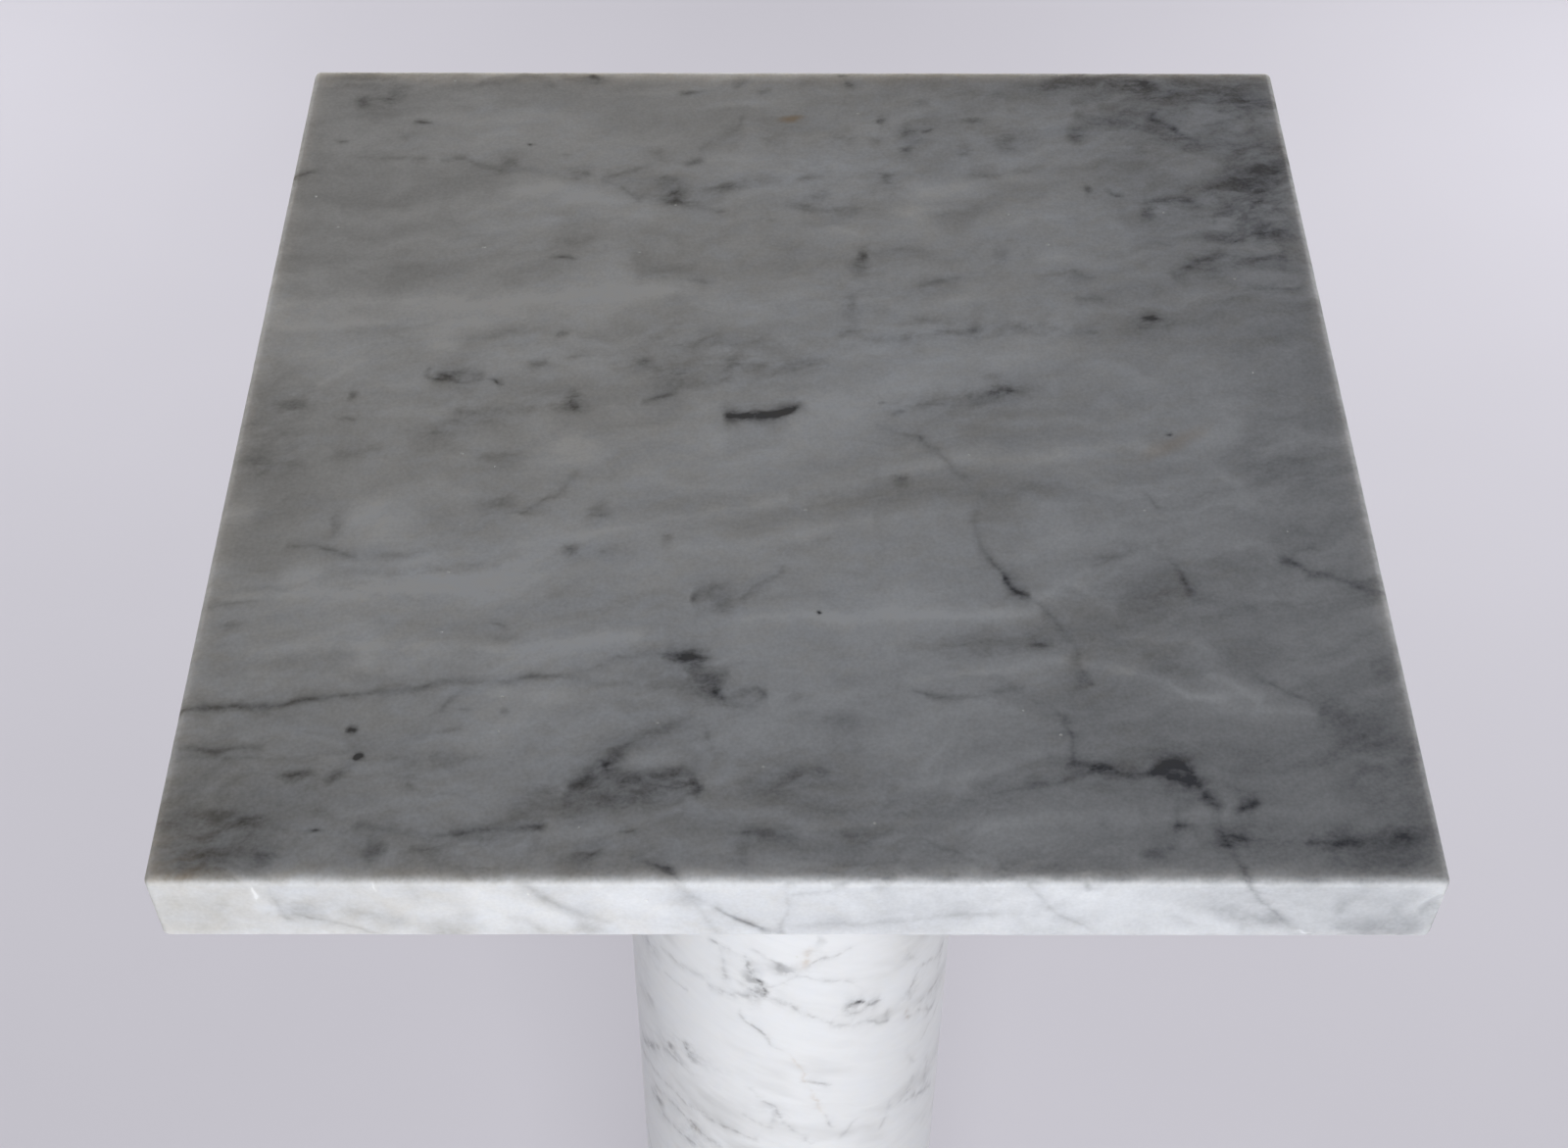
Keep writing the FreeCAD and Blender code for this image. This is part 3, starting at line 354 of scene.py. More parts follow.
# Here (width, (arc, height above the floor, strength), ...).
SHAFT_LINES = (
    (1.0, (-28, 859, 0.3), (-26, 859.5, 0.6), (-23, 859, 0.3), (-20.5, 858.5, 0.5), (-19, 858, 0.2)),
    (0.9, (-9.6, 834, 0.5), (-8.7, 838.5, 1.0), (-10.5, 841, 0.8), (-12, 845, 0.8), (-13, 848, 0.6),
     (-14.4, 851, 0.6), (-14.7, 853.5, 0.8), (-16, 857, 0.4)),
    (0.9, (-9.5, 833.5, 0.5), (-4, 831.5, 0.4), (0, 829, 0.5), (4, 825, 0.4), (8, 820.5, 0.4), (12, 816, 0.35),
     (16, 812, 0.3), (21, 810.5, 0.3), (26, 810, 0.3), (29, 807.5, 0.35), (31.5, 803.5, 0.4), (35.5, 800.5, 0.3)),
    (1.2, (35, 809, 0.3), (34.8, 805, 0.5), (35.5, 801, 0.4)),
    (1.4, (-50, 832.5, 0.3), (-42, 831.7, 0.4), (-36, 832.5, 0.3), (-30, 834.5, 0.2)),
    (1.4, (-29, 830.3, 0.4), (-24, 830.2, 0.5), (-18, 831.5, 0.4), (-11, 833.5, 0.4)),
    (0.9, (-23.2, 857, 0.2), (-23.2, 848, 0.25), (-22.7, 842, 0.35), (-24, 838, 0.25)),
    (0.8, (-13, 862.5, 0.2), (-9, 860, 0.3), (-6, 857, 0.3), (-4, 854, 0.3)),
    (0.7, (2, 849, 0.3), (8, 845.5, 0.3), (16, 841, 0.3), (21, 838, 0.2)),
    (0.7, (-9, 840, 0.3), (-5, 841.5, 0.3), (-1, 844, 0.3), (1, 848, 0.2)),
    (0.7, (6, 854, 0.3), (9, 857, 0.5), (12, 857, 0.4), (20, 860, 0.3)),
    (0.9, (18.5, 821, 0.4), (20, 824, 0.7), (23, 824.3, 1.1), (26, 821.8, 0.9), (28.5, 819.3, 0.7),
     (31.5, 818.3, 0.5)), (0.8, (19, 821, 0.4), (20.5, 818.5, 0.35), (24, 817, 0.3), (29, 817.5, 0.3)),
    (0.8, (-48, 818, 0.2), (-42, 819, 0.4), (-38.5, 819.3, 0.6)),
    (0.7, (-18, 823, 0.2), (-17, 818, 0.3), (-14, 814.5, 0.6), (-10.7, 811.5, 0.7), (-8.8, 808, 0.7),
     (-7, 804, 0.4), (-4, 800, 0.3)), (1.2, (49.5, 820, 0.3), (47.5, 814, 0.4), (45.5, 809, 0.7), (46.5, 804, 0.5)),
    (0.8, (52, 819, 0.4), (57, 815, 0.4), (61, 812, 0.4), (64, 809, 0.5)),
    (1.0, (43, 841, 0.25), (44, 834, 0.3), (50, 827, 0.2)),
    (1.2, (50, 794, 0.4), (56, 793, 0.4), (62, 791, 0.4), (68, 789, 0.3)),
    (0.8, (51, 790, 0.3), (55, 785, 0.4), (59, 780, 0.4)), (1.0, (45, 797, 0.3), (45.3, 793, 0.4), (47, 790, 0.3)),
    (1.9, (-39.8, 781, 0.5), (-39.6, 777.5, 1.0), (-38, 773.5, 0.9), (-36.5, 771, 0.3)),
    (1.9, (-48.6, 771, 0.5), (-48, 767, 0.9), (-46, 763, 0.7), (-43.5, 762, 0.4)),
    (2.0, (-72, 737, 0.3), (-67, 742, 1.0), (-63, 747, 0.9), (-60, 752, 0.7), (-56, 757, 0.5), (-51, 763, 0.4)),
    (1.0, (5, 777.7, 0.4), (9, 776, 0.5), (12, 774, 0.6), (15, 771.8, 0.3)),
    (0.8, (13, 751, 0.3), (13.2, 747, 0.5), (13.6, 743, 0.4), (14.5, 740.5, 0.2)),
    (0.9, (-14, 769, 0.2), (-10, 764.5, 0.3), (-7, 760, 0.4), (-5, 755, 0.5), (-4, 751, 0.4), (-1, 745.5, 0.35),
     (2, 740, 0.35), (5, 735, 0.4), (7.5, 731.5, 0.5)),
    (1.3, (-76, 724, 0.3), (-66, 729.5, 0.5), (-58, 733.5, 0.4), (-50, 736, 0.4), (-42, 735, 0.4),
     (-36.5, 736, 0.6), (-28, 735.5, 0.5), (-20, 734, 0.5), (-13, 732, 0.4)),
    (1.6, (-62, 719, 0.2), (-54, 724, 0.4), (-46, 725, 0.5), (-39.5, 721.5, 0.8), (-34, 720, 0.6),
     (-27, 717.5, 0.4)), (1.4, (-56, 705, 0.3), (-46, 706.5, 0.5), (-38, 706.5, 0.6)),
    (0.9, (-16.5, 749, 0.2), (-12, 745.5, 0.25), (-7, 743, 0.25)),
    (1.0, (46, 769, 0.25), (49, 760, 0.3), (51.5, 752, 0.3)),
    (1.1, (51.5, 744, 0.3), (49.5, 738, 0.4), (45, 733, 0.35)),
    (1.2, (48, 728, 0.3), (54, 724, 0.5), (58, 719, 0.5), (63, 713, 0.5), (68, 708, 0.5)),
    (1.2, (60, 744, 0.2), (60.5, 732, 0.3), (61.5, 721, 0.3), (65, 712, 0.3)),
    (0.9, (39.5, 741, 0.25), (38, 733, 0.25), (36, 724, 0.3)),
    (0.9, (23.5, 741, 0.25), (21, 735, 0.25), (18, 730, 0.2)),
    (0.8, (55, 763, 0.25), (60, 766, 0.3), (68, 768, 0.3)),
)
# (arc, height, half its length, half its width, tilt in degrees, strength)
SHAFT_SMUDGES = (
    (-13.5, 842.5, 4, 3, 0, 0.5), (-12.5, 836, 3.4, 2.6, 0, 0.5), (-22.5, 840.5, 2, 2, 0, 0.3),
    (-2.3, 852, 2, 4.6, 28, 0.65), (24, 820.5, 7, 3.4, -25, 0.2), (23, 823.6, 2.6, 1.2, -15, 0.3),
    (30, 819, 2.4, 1.6, -10, 0.35), (25, 820.3, 2.2, 1.6, 0, -0.4), (-58, 823, 8, 2.6, 12, 0.5),
    (66, 807, 3, 3, 0, 0.7), (61.5, 777.5, 1.8, 2.8, 15, 0.6), (69, 785, 5, 7, 30, 0.35),
    (-60, 784, 4.5, 2, 8, 0.45), (-70, 779, 8, 2.6, 20, 0.25), (-30, 776, 10, 2.5, -8, 0.15),
    (-6.7, 750.5, 1.8, 1.6, 0, 0.35), (-9, 757, 4.5, 6, 0, 0.12), (-60, 711, 6, 2.8, 12, 1.0),
    (-39, 721.5, 3, 2, 0, 0.4), (-48, 770, 14, 6, 25, 0.14), (45.5, 809, 2, 3.4, 0, 0.3),
    (9, 868, 1.6, 1.6, 0, 0.35), (6, 861.5, 1.2, 1.6, 0, 0.3), (-40, 712, 12, 5, 0, 0.2), (70, 726, 8, 12, 0, 0.2),
    (-66, 800, 10, 6, 0, 0.15), (-70, 728, 8, 8, 20, 0.2), (62, 850, 8, 8, 0, 0.2),
)
# Rusty veins, as lines.
SHAFT_BROWN = (
    (1.9, (4, 852.5, 0.3), (4.5, 856, 0.9), (5, 860, 0.9), (6.2, 864, 0.4)),
    (0.9, (-4, 800, 0.3), (0, 795, 0.5), (3, 788, 0.5)), (0.9, (3.5, 786, 0.5), (4, 781, 0.9), (5, 777.5, 0.6)),
    (1.1, (12, 752.5, 0.4), (10, 758, 0.5), (8.5, 763.5, 1.0), (7.5, 769, 0.6), (5.5, 773, 0.4)),
    (1.2, (44.5, 798, 0.4), (45.5, 792, 0.6)), (1.6, (-44, 722, 0.3), (-36, 720, 0.5)),
)

# ---------------------------------------------------------------- chips, in mm

# Each is (centre, radii) of the lump that is missing from the stone, with its turn in degrees where it has one.
SLAB_CHIPS = (
    ((148.6, -153.5, 1040.6), (7.0, 4.4, 9.4), (0, 25, 0)),
    ((151.9, -151.9, 1026.2), (2.9, 2.9, 4.0)),
    ((-151.0, 151.2, 1050.6), (3.6, 3.0, 2.6), (0, 0, 20)),
    ((-150.9, -33.0, 1050.5), (1.4, 2.4, 1.3)),
    ((150.8, -24.5, 1050.4), (1.3, 2.0, 1.2)),
    ((86.5, -150.9, 1050.6), (1.9, 1.3, 1.3)),
    ((-84.3, -150.7, 1025.6), (3.4, 1.4, 1.3)),
    ((-50.0, -150.6, 1025.6), (2.0, 1.2, 1.1)),
    ((-8.2, -150.9, 1026.6), (1.8, 1.3, 1.9)),
    ((-5.0, -150.8, 1028.2), (1.4, 1.2, 1.3), (0, 30, 0)),
    ((10.0, -150.8, 1025.8), (2.6, 1.3, 1.2)),
    ((58.8, -150.7, 1025.6), (1.8, 1.2, 1.2)),
    ((121.2, -150.9, 1027.0), (1.8, 1.3, 1.8)),
    ((150.9, 62.0, 1025.5), (1.3, 3.0, 1.4)),
    ((-60.0, 150.8, 1050.5), (2.6, 1.3, 1.2)),
    ((97.0, 150.9, 1025.6), (2.8, 1.5, 1.5)),
)
PLINTH_CHIPS = (
    ((151.2, -151.2, 49.6), (3.6, 3.4, 2.8)),
    ((-151.6, -151.0, 3.6), (4.0, 3.4, 3.0), (0, 0, 15)),
    ((-40.0, -150.9, 49.5), (3.0, 1.5, 1.4)),
    ((72.0, -150.8, 3.8), (4.0, 1.6, 1.4)),
    ((150.8, 40.0, 49.4), (1.5, 3.4, 1.4)),
    ((-151.0, 86.0, 49.5), (1.6, 2.6, 1.6)),
    ((151.4, 151.3, 3.4), (3.6, 4.2, 3.2)),
)
SHAFT_CHIPS = (
    ((60.4, -47.2, 130.4), (2.6, 2.4, 1.5), (0, 0, -38)),
    ((-76.5, 12.0, 137.6), (1.4, 2.8, 1.3)),
)
CAPITAL_CHIPS = (
    ((-52.0, -73.2, 1014.6), (2.4, 1.6, 1.3), (0, 0, -35)),
    ((84.5, 30.5, 1024.8), (1.4, 2.6, 1.2), (0, 0, 20)),
)


# ---------------------------------------------------------------- material nodes


class Field:
    """A number or vector that varies over a surface: an output socket that can be used in sums."""

    def __init__(self, graph, socket):
        self.graph = graph
        self.socket = socket

    def __add__(self, other):
        return self.graph.math("ADD", self, other)

    def __sub__(self, other):
        return self.graph.math("SUBTRACT", self, other)

    def __rsub__(self, other):
        return self.graph.math("SUBTRACT", other, self)

    def __mul__(self, other):
        return self.graph.math("MULTIPLY", self, other)

    def __truediv__(self, other):
        return self.graph.math("DIVIDE", self, other)

    __radd__ = __add__
    __rmul__ = __mul__

    def ramp(self, low, high):
        """0 below low and 1 above high, with a smooth rise, or a fall where low is the larger."""
        return self.graph.output("MapRange", {"Value": self, "From Min": low, "From Max": high},
                                 interpolation_type="SMOOTHSTEP")


class Graph:
    """The nodes of a material or world."""

    def __init__(self, holder):
        holder.use_nodes = True
        self.nodes = holder.node_tree.nodes
        self.links = holder.node_tree.links
        self.nodes.clear()

    def feed(self, socket, value):
        if isinstance(value, Field):
            self.links.new(value.socket, socket)
        else:
            socket.default_value = value

    def node(self, kind, inputs=(), **settings):
        made = self.nodes.new("ShaderNode" + kind)
        for name, value in settings.items():
            setattr(made, name, value)
        for name, value in dict(inputs).items():
            self.feed(made.inputs[name], value)
        return made

    def output(self, kind, inputs=(), **settings):
        made = self.node(kind, inputs, **settings)
        return Field(self, next(socket for socket in made.outputs if socket.enabled))

    def math(self, operation, *values):
        return self.output("Math", dict(enumerate(values)), operation=operation)

    def vector(self, operation, *values, scale=None):
        triples = [value if isinstance(value, (Field, tuple)) else (value,) * 3 for value in values]
        inputs = dict(enumerate(triples))
        if scale is not None:
            inputs["Scale"] = scale
        return self.output("VectorMath", inputs, operation=operation)

    def parts(self, vector):
        made = self.node("SeparateXYZ", {"Vector": vector})
        return [Field(self, socket) for socket in made.outputs]

    def joined(self, x, y, z):
        return self.output("CombineXYZ", {"X": x, "Y": y, "Z": z})

    def stretched(self, place, lengths, turn=(0, 0, 0)):
        """The place in units of these lengths, in mm, along axes turned by these angles."""
        inputs = {"Vector": place, "Rotation": turn, "Scale": lengths}
        return self.output("Mapping", inputs, vector_type="TEXTURE")

    def away(self, place, centre, lengths, turn=(0, 0, 0)):
        """The distance from a centre, in units of these lengths."""
        return self.vector("LENGTH", self.stretched(self.vector("SUBTRACT", place, centre), lengths, turn))

    def noise(self, place, size=1.0, detail=2.0, roughness=0.5):
        """Cloudy values round 0.5, with lumps of about this size."""
        inputs = {"Vector": place, "Scale": 1 / size, "Detail": detail, "Roughness": roughness}
        return self.output("TexNoise", inputs)

    def shift(self, place, size, reach, detail=3.0):
        """The place moved at random by up to about this reach, in mm."""
        inputs = {"Vector": place, "Scale": 1 / size, "Detail": detail}
        cloud = Field(self, self.node("TexNoise", inputs).outputs["Color"])
        moved = self.vector("SUBTRACT", cloud, 0.5)
        return self.vector("MULTIPLY_ADD", moved, 2 * reach, place)

    def mix(self, share, first, second):
        """The first colour where the share is 0, and the second where it is 1."""
        made = self.node("Mix", data_type="RGBA")
        self.feed(made.inputs["Factor"], share)
        for socket, value in zip([s for s in made.inputs if s.enabled and s.type == "RGBA"], (first, second)):
            self.feed(socket, value if isinstance(value, Field) else (*value, 1))
        return Field(self, next(s for s in made.outputs if s.enabled))

    def bump(self, height, distance):
        """A normal from a height field; distance is the relief in mm where the height is 1."""
        return self.output("Bump", {"Height": height, "Distance": distance * MM})

    def seen_directly(self):
        """1 for what the camera, a mirror or glass sees, and 0 for light that lands on other things."""
        path = self.node("LightPath").outputs
        rays = [Field(self, path[name]) for name in ("Is Camera Ray", "Is Glossy Ray", "Is Transmission Ray")]
        return self.math("MAXIMUM", rays[0], self.math("MAXIMUM", rays[1], rays[2]))


class Surface(Graph):
    """The nodes of one material, with the place on the object in mm."""

    def __init__(self, name):
        self.material = bpy.data.materials.new(name)
        super().__init__(self.material)
        coordinates = self.node("TexCoord").outputs["Object"]
        self.place = self.vector("SCALE", Field(self, coordinates), scale=1 / MM)
        self.x, self.y, self.z = self.parts(self.place)

    def principled(self, **inputs):
        """Ends the material in one shader, with socket names written with underscores."""
        named = {name.replace("_", " "): value for name, value in inputs.items()}
        return self.finished(self.node("BsdfPrincipled", named))

    def finished(self, shader):
        self.links.new(shader.outputs[0], self.node("OutputMaterial").inputs["Surface"])
        return self.material


# ---------------------------------------------------------------- drawn markings

LANE_FADE = 1.5  # mm over which a marking ends
LANE_HOLD = 2.2  # mm past its end where a marking's course and width are still its own
CHANNELS = 3
SMUDGE_SPREAD = 1.4  # how much wider the patches are than written, apart from the fine ones
FINE_WIDTH = 1.3


def smudge(x, y, half_length, half_width, tilt, strength):
    """A soft patch as a short broad line: points (x, y, strength, width)."""
    slope = math.tan(math.radians(tilt))
    bell = ((-1, 0.1), (-0.5, 0.75), (0, 1), (0.5, 0.75), (1, 0.1))
    across = min(half_length, half_width)
    across *= SMUDGE_SPREAD if across > FINE_WIDTH else 1
    if half_width > half_length:
        return [(x - t * half_width * slope, y + t * half_width, strength * share, across) for t, share in bell]
    return [(x + t * half_length, y + t * half_length * slope, strength * share, across) for t, share in bell]


def smudges_of(table):
    return [smudge(*given) for given in table]


def lines_of(table, spread=1.0):
    """The lines of a table, this much wider than written: points (x, y, strength, width)."""
    return [[(*point, spread * width) for point in points] for width, *points in table]


def in_lanes(markings):
    """Shares markings out among as few lanes as do, so that none overlaps the next one in its lane."""
    lanes = []
    for marking in sorted(markings):
        for lane in lanes:
            if marking[0][0] - lane[-1][-1][0] > 2 * LANE_HOLD:
                lane.append(marking)
                break
        else:
            lanes.append([marking])
    return lanes


def slanted(marking):
    """The marking with its widths as they are straight across the lane, from its slope at each point."""
    steps = [(b[1] - a[1]) / (b[0] - a[0]) for a, b in zip(marking, marking[1:])]
    slopes = [steps[0], *[(a + b) / 2 for a, b in zip(steps, steps[1:])], steps[-1]]
    return [(*point[:3], point[3] * math.hypot(1, slope)) for point, slope in zip(marking, slopes)]


def held(lane, value):
    """The curve of one value of a lane's points, level just beyond the ends of each marking."""
    points = []
    for marking in lane:
        first, last = marking[0], marking[-1]
        points.append((first[0] - LANE_HOLD, value(first)))
        points += [(point[0], value(point)) for point in marking]
        points.append((last[0] + LANE_HOLD, value(last)))
    return points


def strengths(lane):
    """The curve of a lane's strength, which is 0 between its markings."""
    points = []
    for marking in lane:
        points.append((marking[0][0] - LANE_FADE, 0))
        points += [(point[0], point[2]) for point in marking]
        points.append((marking[-1][0] + LANE_FADE, 0))
    return points


def curves(graph, position, channels, low, span):
    """Three functions of a position between 0 and 1, each drawn straight from point to point."""
    made = graph.node("RGBCurve", {"Color": position})
    made.mapping.use_clip = False
    made.mapping.extend = "HORIZONTAL"
    for curve, points in zip(made.mapping.curves, channels):
        places = [((place - low) / span, value) for place, value in points]
        inside = [point for point in places if 0 < point[0] < 1]
        first = next((value for place, value in reversed(places) if place <= 0), inside[0][1])
        last = next((value for place, value in places if place >= 1), inside[-1][1])
        curve.points[0].location = (0, first)
        curve.points[-1].location = (1, last)
        for place, value in inside:
            curve.points.new(place, value)
        for point in curve.points:
            point.handle_type = "VECTOR"
    made.mapping.update()
    return Field(graph, made.outputs["Color"])


def drawn_along(graph, markings, along, across, low, span, compact):
    """How strongly markings that run along one coordinate show, as the sum over lanes taken three at a time."""
    lanes = in_lanes([slanted(marking) for marking in markings])
    middle = low[0] + span / 2
    while len(lanes) % CHANNELS:
        lanes.append([[(middle, low[1], 0, 1), (middle + 1, low[1], 0, 1)]])
    position = (along - low[0]) / span
    total = 0
    for k in range(0, len(lanes), CHANNELS):
        group = lanes[k:k + CHANNELS]
        centres = curves(graph, position, [held(lane, lambda point: point[1]) for lane in group], low[0], span)
        widths = curves(graph, position, [held(lane, lambda point: point[3]) for lane in group], low[0], span)
        shares = curves(graph, position, [strengths(lane) for lane in group], low[0], span)
        away = graph.vector("DIVIDE", graph.vector("SUBTRACT", across, centres), widths)
        falloff = graph.vector("MULTIPLY_ADD", away, away, 1.0)
        if compact:
            falloff = graph.vector("MULTIPLY", falloff, falloff)
        total = total + graph.vector("DOT_PRODUCT", graph.vector("DIVIDE", shares, falloff), (1.0, 1.0, 1.0))
    return total


def drawn(graph, markings, x, y, low, span, compact=False):
    """How strongly markings show at (x, y) in mm, each from low to low + span. Compact ones have no wide halo."""
    level, steep = [], []
    for marking in markings:
        rise = [abs(b - a) for a, b in zip(marking[0], marking[-1])]
        if rise[0] >= rise[1]:
            level.append(sorted(marking))
        else:
            steep.append(sorted((b, a, *rest) for a, b, *rest in marking))
    total = 0
    if level:
        total = total + drawn_along(graph, level, x, y, low, span, compact)
    if steep:
        total = total + drawn_along(graph, steep, y, x, low[::-1], span, compact)
    return total


# ---------------------------------------------------------------- marble

COOL_WHITE = (0.725, 0.748, 0.782)
WARM_WHITE = (0.755, 0.75, 0.735)
COOL_GREY = (0.05, 0.056, 0.068)
WARM_GREY = (0.078, 0.072, 0.052)
BROWN = (0.42, 0.3, 0.17)
PIT_WHITE = (0.8, 0.8, 0.79)
MARBLE_IOR = 1.49
MARBLE_RELIEF = 0.25  # mm
SUBSURFACE = {"Subsurface_Weight": 0.85, "Subsurface_Radius": (1.0, 0.92, 0.82), "Subsurface_Scale": 0.012}
BROKEN_SUBSURFACE = {**SUBSURFACE, "Subsurface_Weight": 0.3}
ARRIS_REACH = 2.6  # mm from an arris over which its wear shows


def bedding_turn(streak, normal):
    """Angles of axes whose X lies along the streaks and whose Z is square to the bedding."""
    across = Vector(normal).cross(streak).normalized()
    columns = (Vector(streak).normalized(), across, Vector(normal).normalized())
    return tuple(Matrix(columns).transposed().to_euler())


def stone_edges(graph, half, bottom, top):
    """1 on the arrises of a square stone, falling to 0 a few mm away."""
    aside = [graph.math("SUBTRACT", half, graph.math("ABSOLUTE", axis)) for axis in (graph.x, graph.y)]
    upright = graph.math("MINIMUM", graph.z - bottom, top - graph.z)
    nearer = graph.math("MINIMUM", *aside)
    farther = graph.math("MAXIMUM", *aside)
    second = graph.math("MAXIMUM", nearer, graph.math("MINIMUM", farther, upright))
    return second.ramp(ARRIS_REACH, 0.2)


def pits(graph, place, size, radius, share):
    """Small round pits, one in this share of cells of this size."""
    cells = graph.node("TexVoronoi", {"Vector": place, "Scale": 1 / size})
    distance = Field(graph, cells.outputs["Distance"])
    chosen, _, _ = graph.parts(Field(graph, cells.outputs["Color"]))
    inside = distance.ramp(radius / size, 0.4 * radius / size)
    return inside * graph.math("LESS_THAN", chosen, share)


def marble(graph, darkness, warmth, brown, pitted, roughness, relief, edges=0.0):
    """Ends a stone's graph: white where the darkness is 0, and a dark vein where it is 1."""
    shade = graph.math("MINIMUM", graph.math("MAXIMUM", darkness, 0.0), 1.0)
    white = graph.mix(warmth, COOL_WHITE, WARM_WHITE)
    vein = graph.mix(warmth, COOL_GREY, WARM_GREY)
    colour = graph.mix(shade, white, vein)
    colour = graph.mix(brown, colour, BROWN)
    worn = edges * graph.noise(graph.place, 4.0, 3.0).ramp(0.3, 0.7)
    pale = graph.math("MAXIMUM", pitted * 0.6, worn * 0.03)
    colour = graph.mix(pale, colour, PIT_WHITE)
    polish = graph.noise(graph.place, 14.0, 3.0) * 0.1 + edges * 0.6 + pitted * 0.2 + (roughness - 0.05)
    normal = graph.bump(relief - pitted, MARBLE_RELIEF)
    return graph.principled(Base_Color=colour, Roughness=polish, Normal=normal, IOR=MARBLE_IOR, **SUBSURFACE)


def front_marks(graph, patchy):
    """The markings that only the slab's front edge has."""
    x, _, z = graph.parts(graph.shift(graph.place, 10.0, 2.4))
    seen = (x, SLAB_TOP - z, (-SLAB_HALF, 0.0), 2 * SLAB_HALF)
    lines = drawn(graph, lines_of(FRONT_LINES), *seen)
    smudges = drawn(graph, smudges_of(FRONT_SMUDGES), *seen, compact=True)
    return lines * (patchy * 0.25 + 0.25) + smudges * (patchy * 0.25 + 0.4)


def slab_stains(graph, place, patchy):
    """How brown the slab is: a spot of rust, a long smear and a patchy corner."""
    rust = graph.away(place, RUST_PLACE, RUST_SIZE).ramp(1.2, 0.2)
    smear = graph.away(place, SMEAR_PLACE, SMEAR_SIZE, SMEAR_TURN).ramp(1.6, 0.0)
    corner = graph.vector("DISTANCE", place, STAINED_CORNER).ramp(18.0, 2.0) * patchy
    return rust * 0.8 + smear * 0.32 + corner * 0.2


def slab_marble():
    graph = Surface("slab_marble")
    depth = SLAB_TOP - graph.z
    leaned = graph.joined(graph.x - depth * SLAB_LEAN, graph.y, 0.0)
    warped = graph.shift(graph.shift(leaned, 18.0, 3.6, 2.0), 4.5, 0.8, 2.0)
    x, y, _ = graph.parts(warped)

    turn = bedding_turn((0.985, 0.174, 0), (-0.171, 0.969, -0.178))
    swirled = graph.shift(graph.place, 40.0, 22.0)
    clouds = graph.noise(graph.stretched(swirled, (85, 55, 34), turn), 1.0, 3.0)
    smoke = graph.noise(graph.stretched(swirled, (34, 20, 9), turn), 1.0, 4.0, 0.55)
    mottle = graph.noise(graph.stretched(graph.shift(graph.place, 12.0, 5.0), (9, 6, 4), turn), 1.0, 4.0, 0.55)
    grain = graph.noise(graph.place, 0.9, 1.0)
    patchy = mottle.ramp(0.33, 0.68)
    flecks = graph.noise(graph.stretched(graph.shift(graph.place, 9.0, 4.0), (7, 4.5, 3), turn), 1.0, 3.0, 0.6)

    seen = (x, y, (-SLAB_HALF, -SLAB_HALF), 2 * SLAB_HALF)
    lines = drawn(graph, lines_of(SLAB_LINES, SLAB_LINE_SPREAD), *seen)
    smudges = drawn(graph, smudges_of(SLAB_SMUDGES), *seen, compact=True)
    busy = graph.math("MINIMUM", graph.math("MAXIMUM", smudges, 0.0), 1.0)
    darkness = (clouds - 0.5) * 0.6 + (smoke - 0.5) * (busy * 0.7 + 0.5) + (mottle - 0.5) * (busy * 0.6 + 0.15)
    darkness = darkness + flecks.ramp(0.52, 0.74) * (busy * 0.26 + 0.04)
    aside, back = (graph.x - PALEST_X) / SLAB_HALF, (graph.y - PALEST_Y) / SLAB_HALF
    darkness = darkness + aside * aside * 0.16 + back * back * 0.14 + (grain - 0.5) * 0.24 + 0.155
    front = graph.y.ramp(1.1 - SLAB_HALF, 0.2 - SLAB_HALF)
    marks = lines * (patchy * 0.32 + 0.28) + smudges * (patchy * 0.34 + 0.4)
    # Painted light: the front edge face's darkness is cut by 40%, so it is painted paler than the top, standing in
    # for the front light that falls on it more than on the top. The top's own marks stay off that face.
    darkness = darkness * (1 - front * 0.4) + marks * (1 - front * 0.9)
    edges = stone_edges(graph, SLAB_HALF, SLAB_BOTTOM, SLAB_TOP)
    darkness = darkness + front * front_marks(graph, patchy) + edges * patchy * 0.12
    brown = slab_stains(graph, warped, patchy * (1 - front))
    # The grey is warmer towards the left and the back.
    warmth = (clouds - 0.5) * 1.5 + (mottle - 0.5) * 1.5 - graph.x / 260 + graph.y / 400 + 0.45
    pitted = pits(graph, graph.place, 9.0, 0.5, 0.35)
    relief = graph.noise(graph.place, 30.0, 2.0) * 0.2 + grain * 0.03
    return marble(graph, darkness, warmth, brown, pitted, 0.34, relief, edges)


def bedded_veins(graph, place, turn, lengths, width, seed):
    """Thin wandering veins along the bedding, which fade in and out."""
    moved = graph.vector("ADD", place, seed)
    field = graph.noise(graph.stretched(moved, lengths, turn), 1.0, 2.5, 0.45)
    off = (field - 0.5) / width
    falloff = off * off + 1
    mask = graph.noise(graph.stretched(moved, [1.2 * length for length in lengths], turn), 0.7, 1.0)
    return mask.ramp(0.42, 0.72) / (falloff * falloff)


COLUMN_BEDDING = bedding_turn((0.857, 0.0, -0.514), (0.506, 0.126, 0.843))


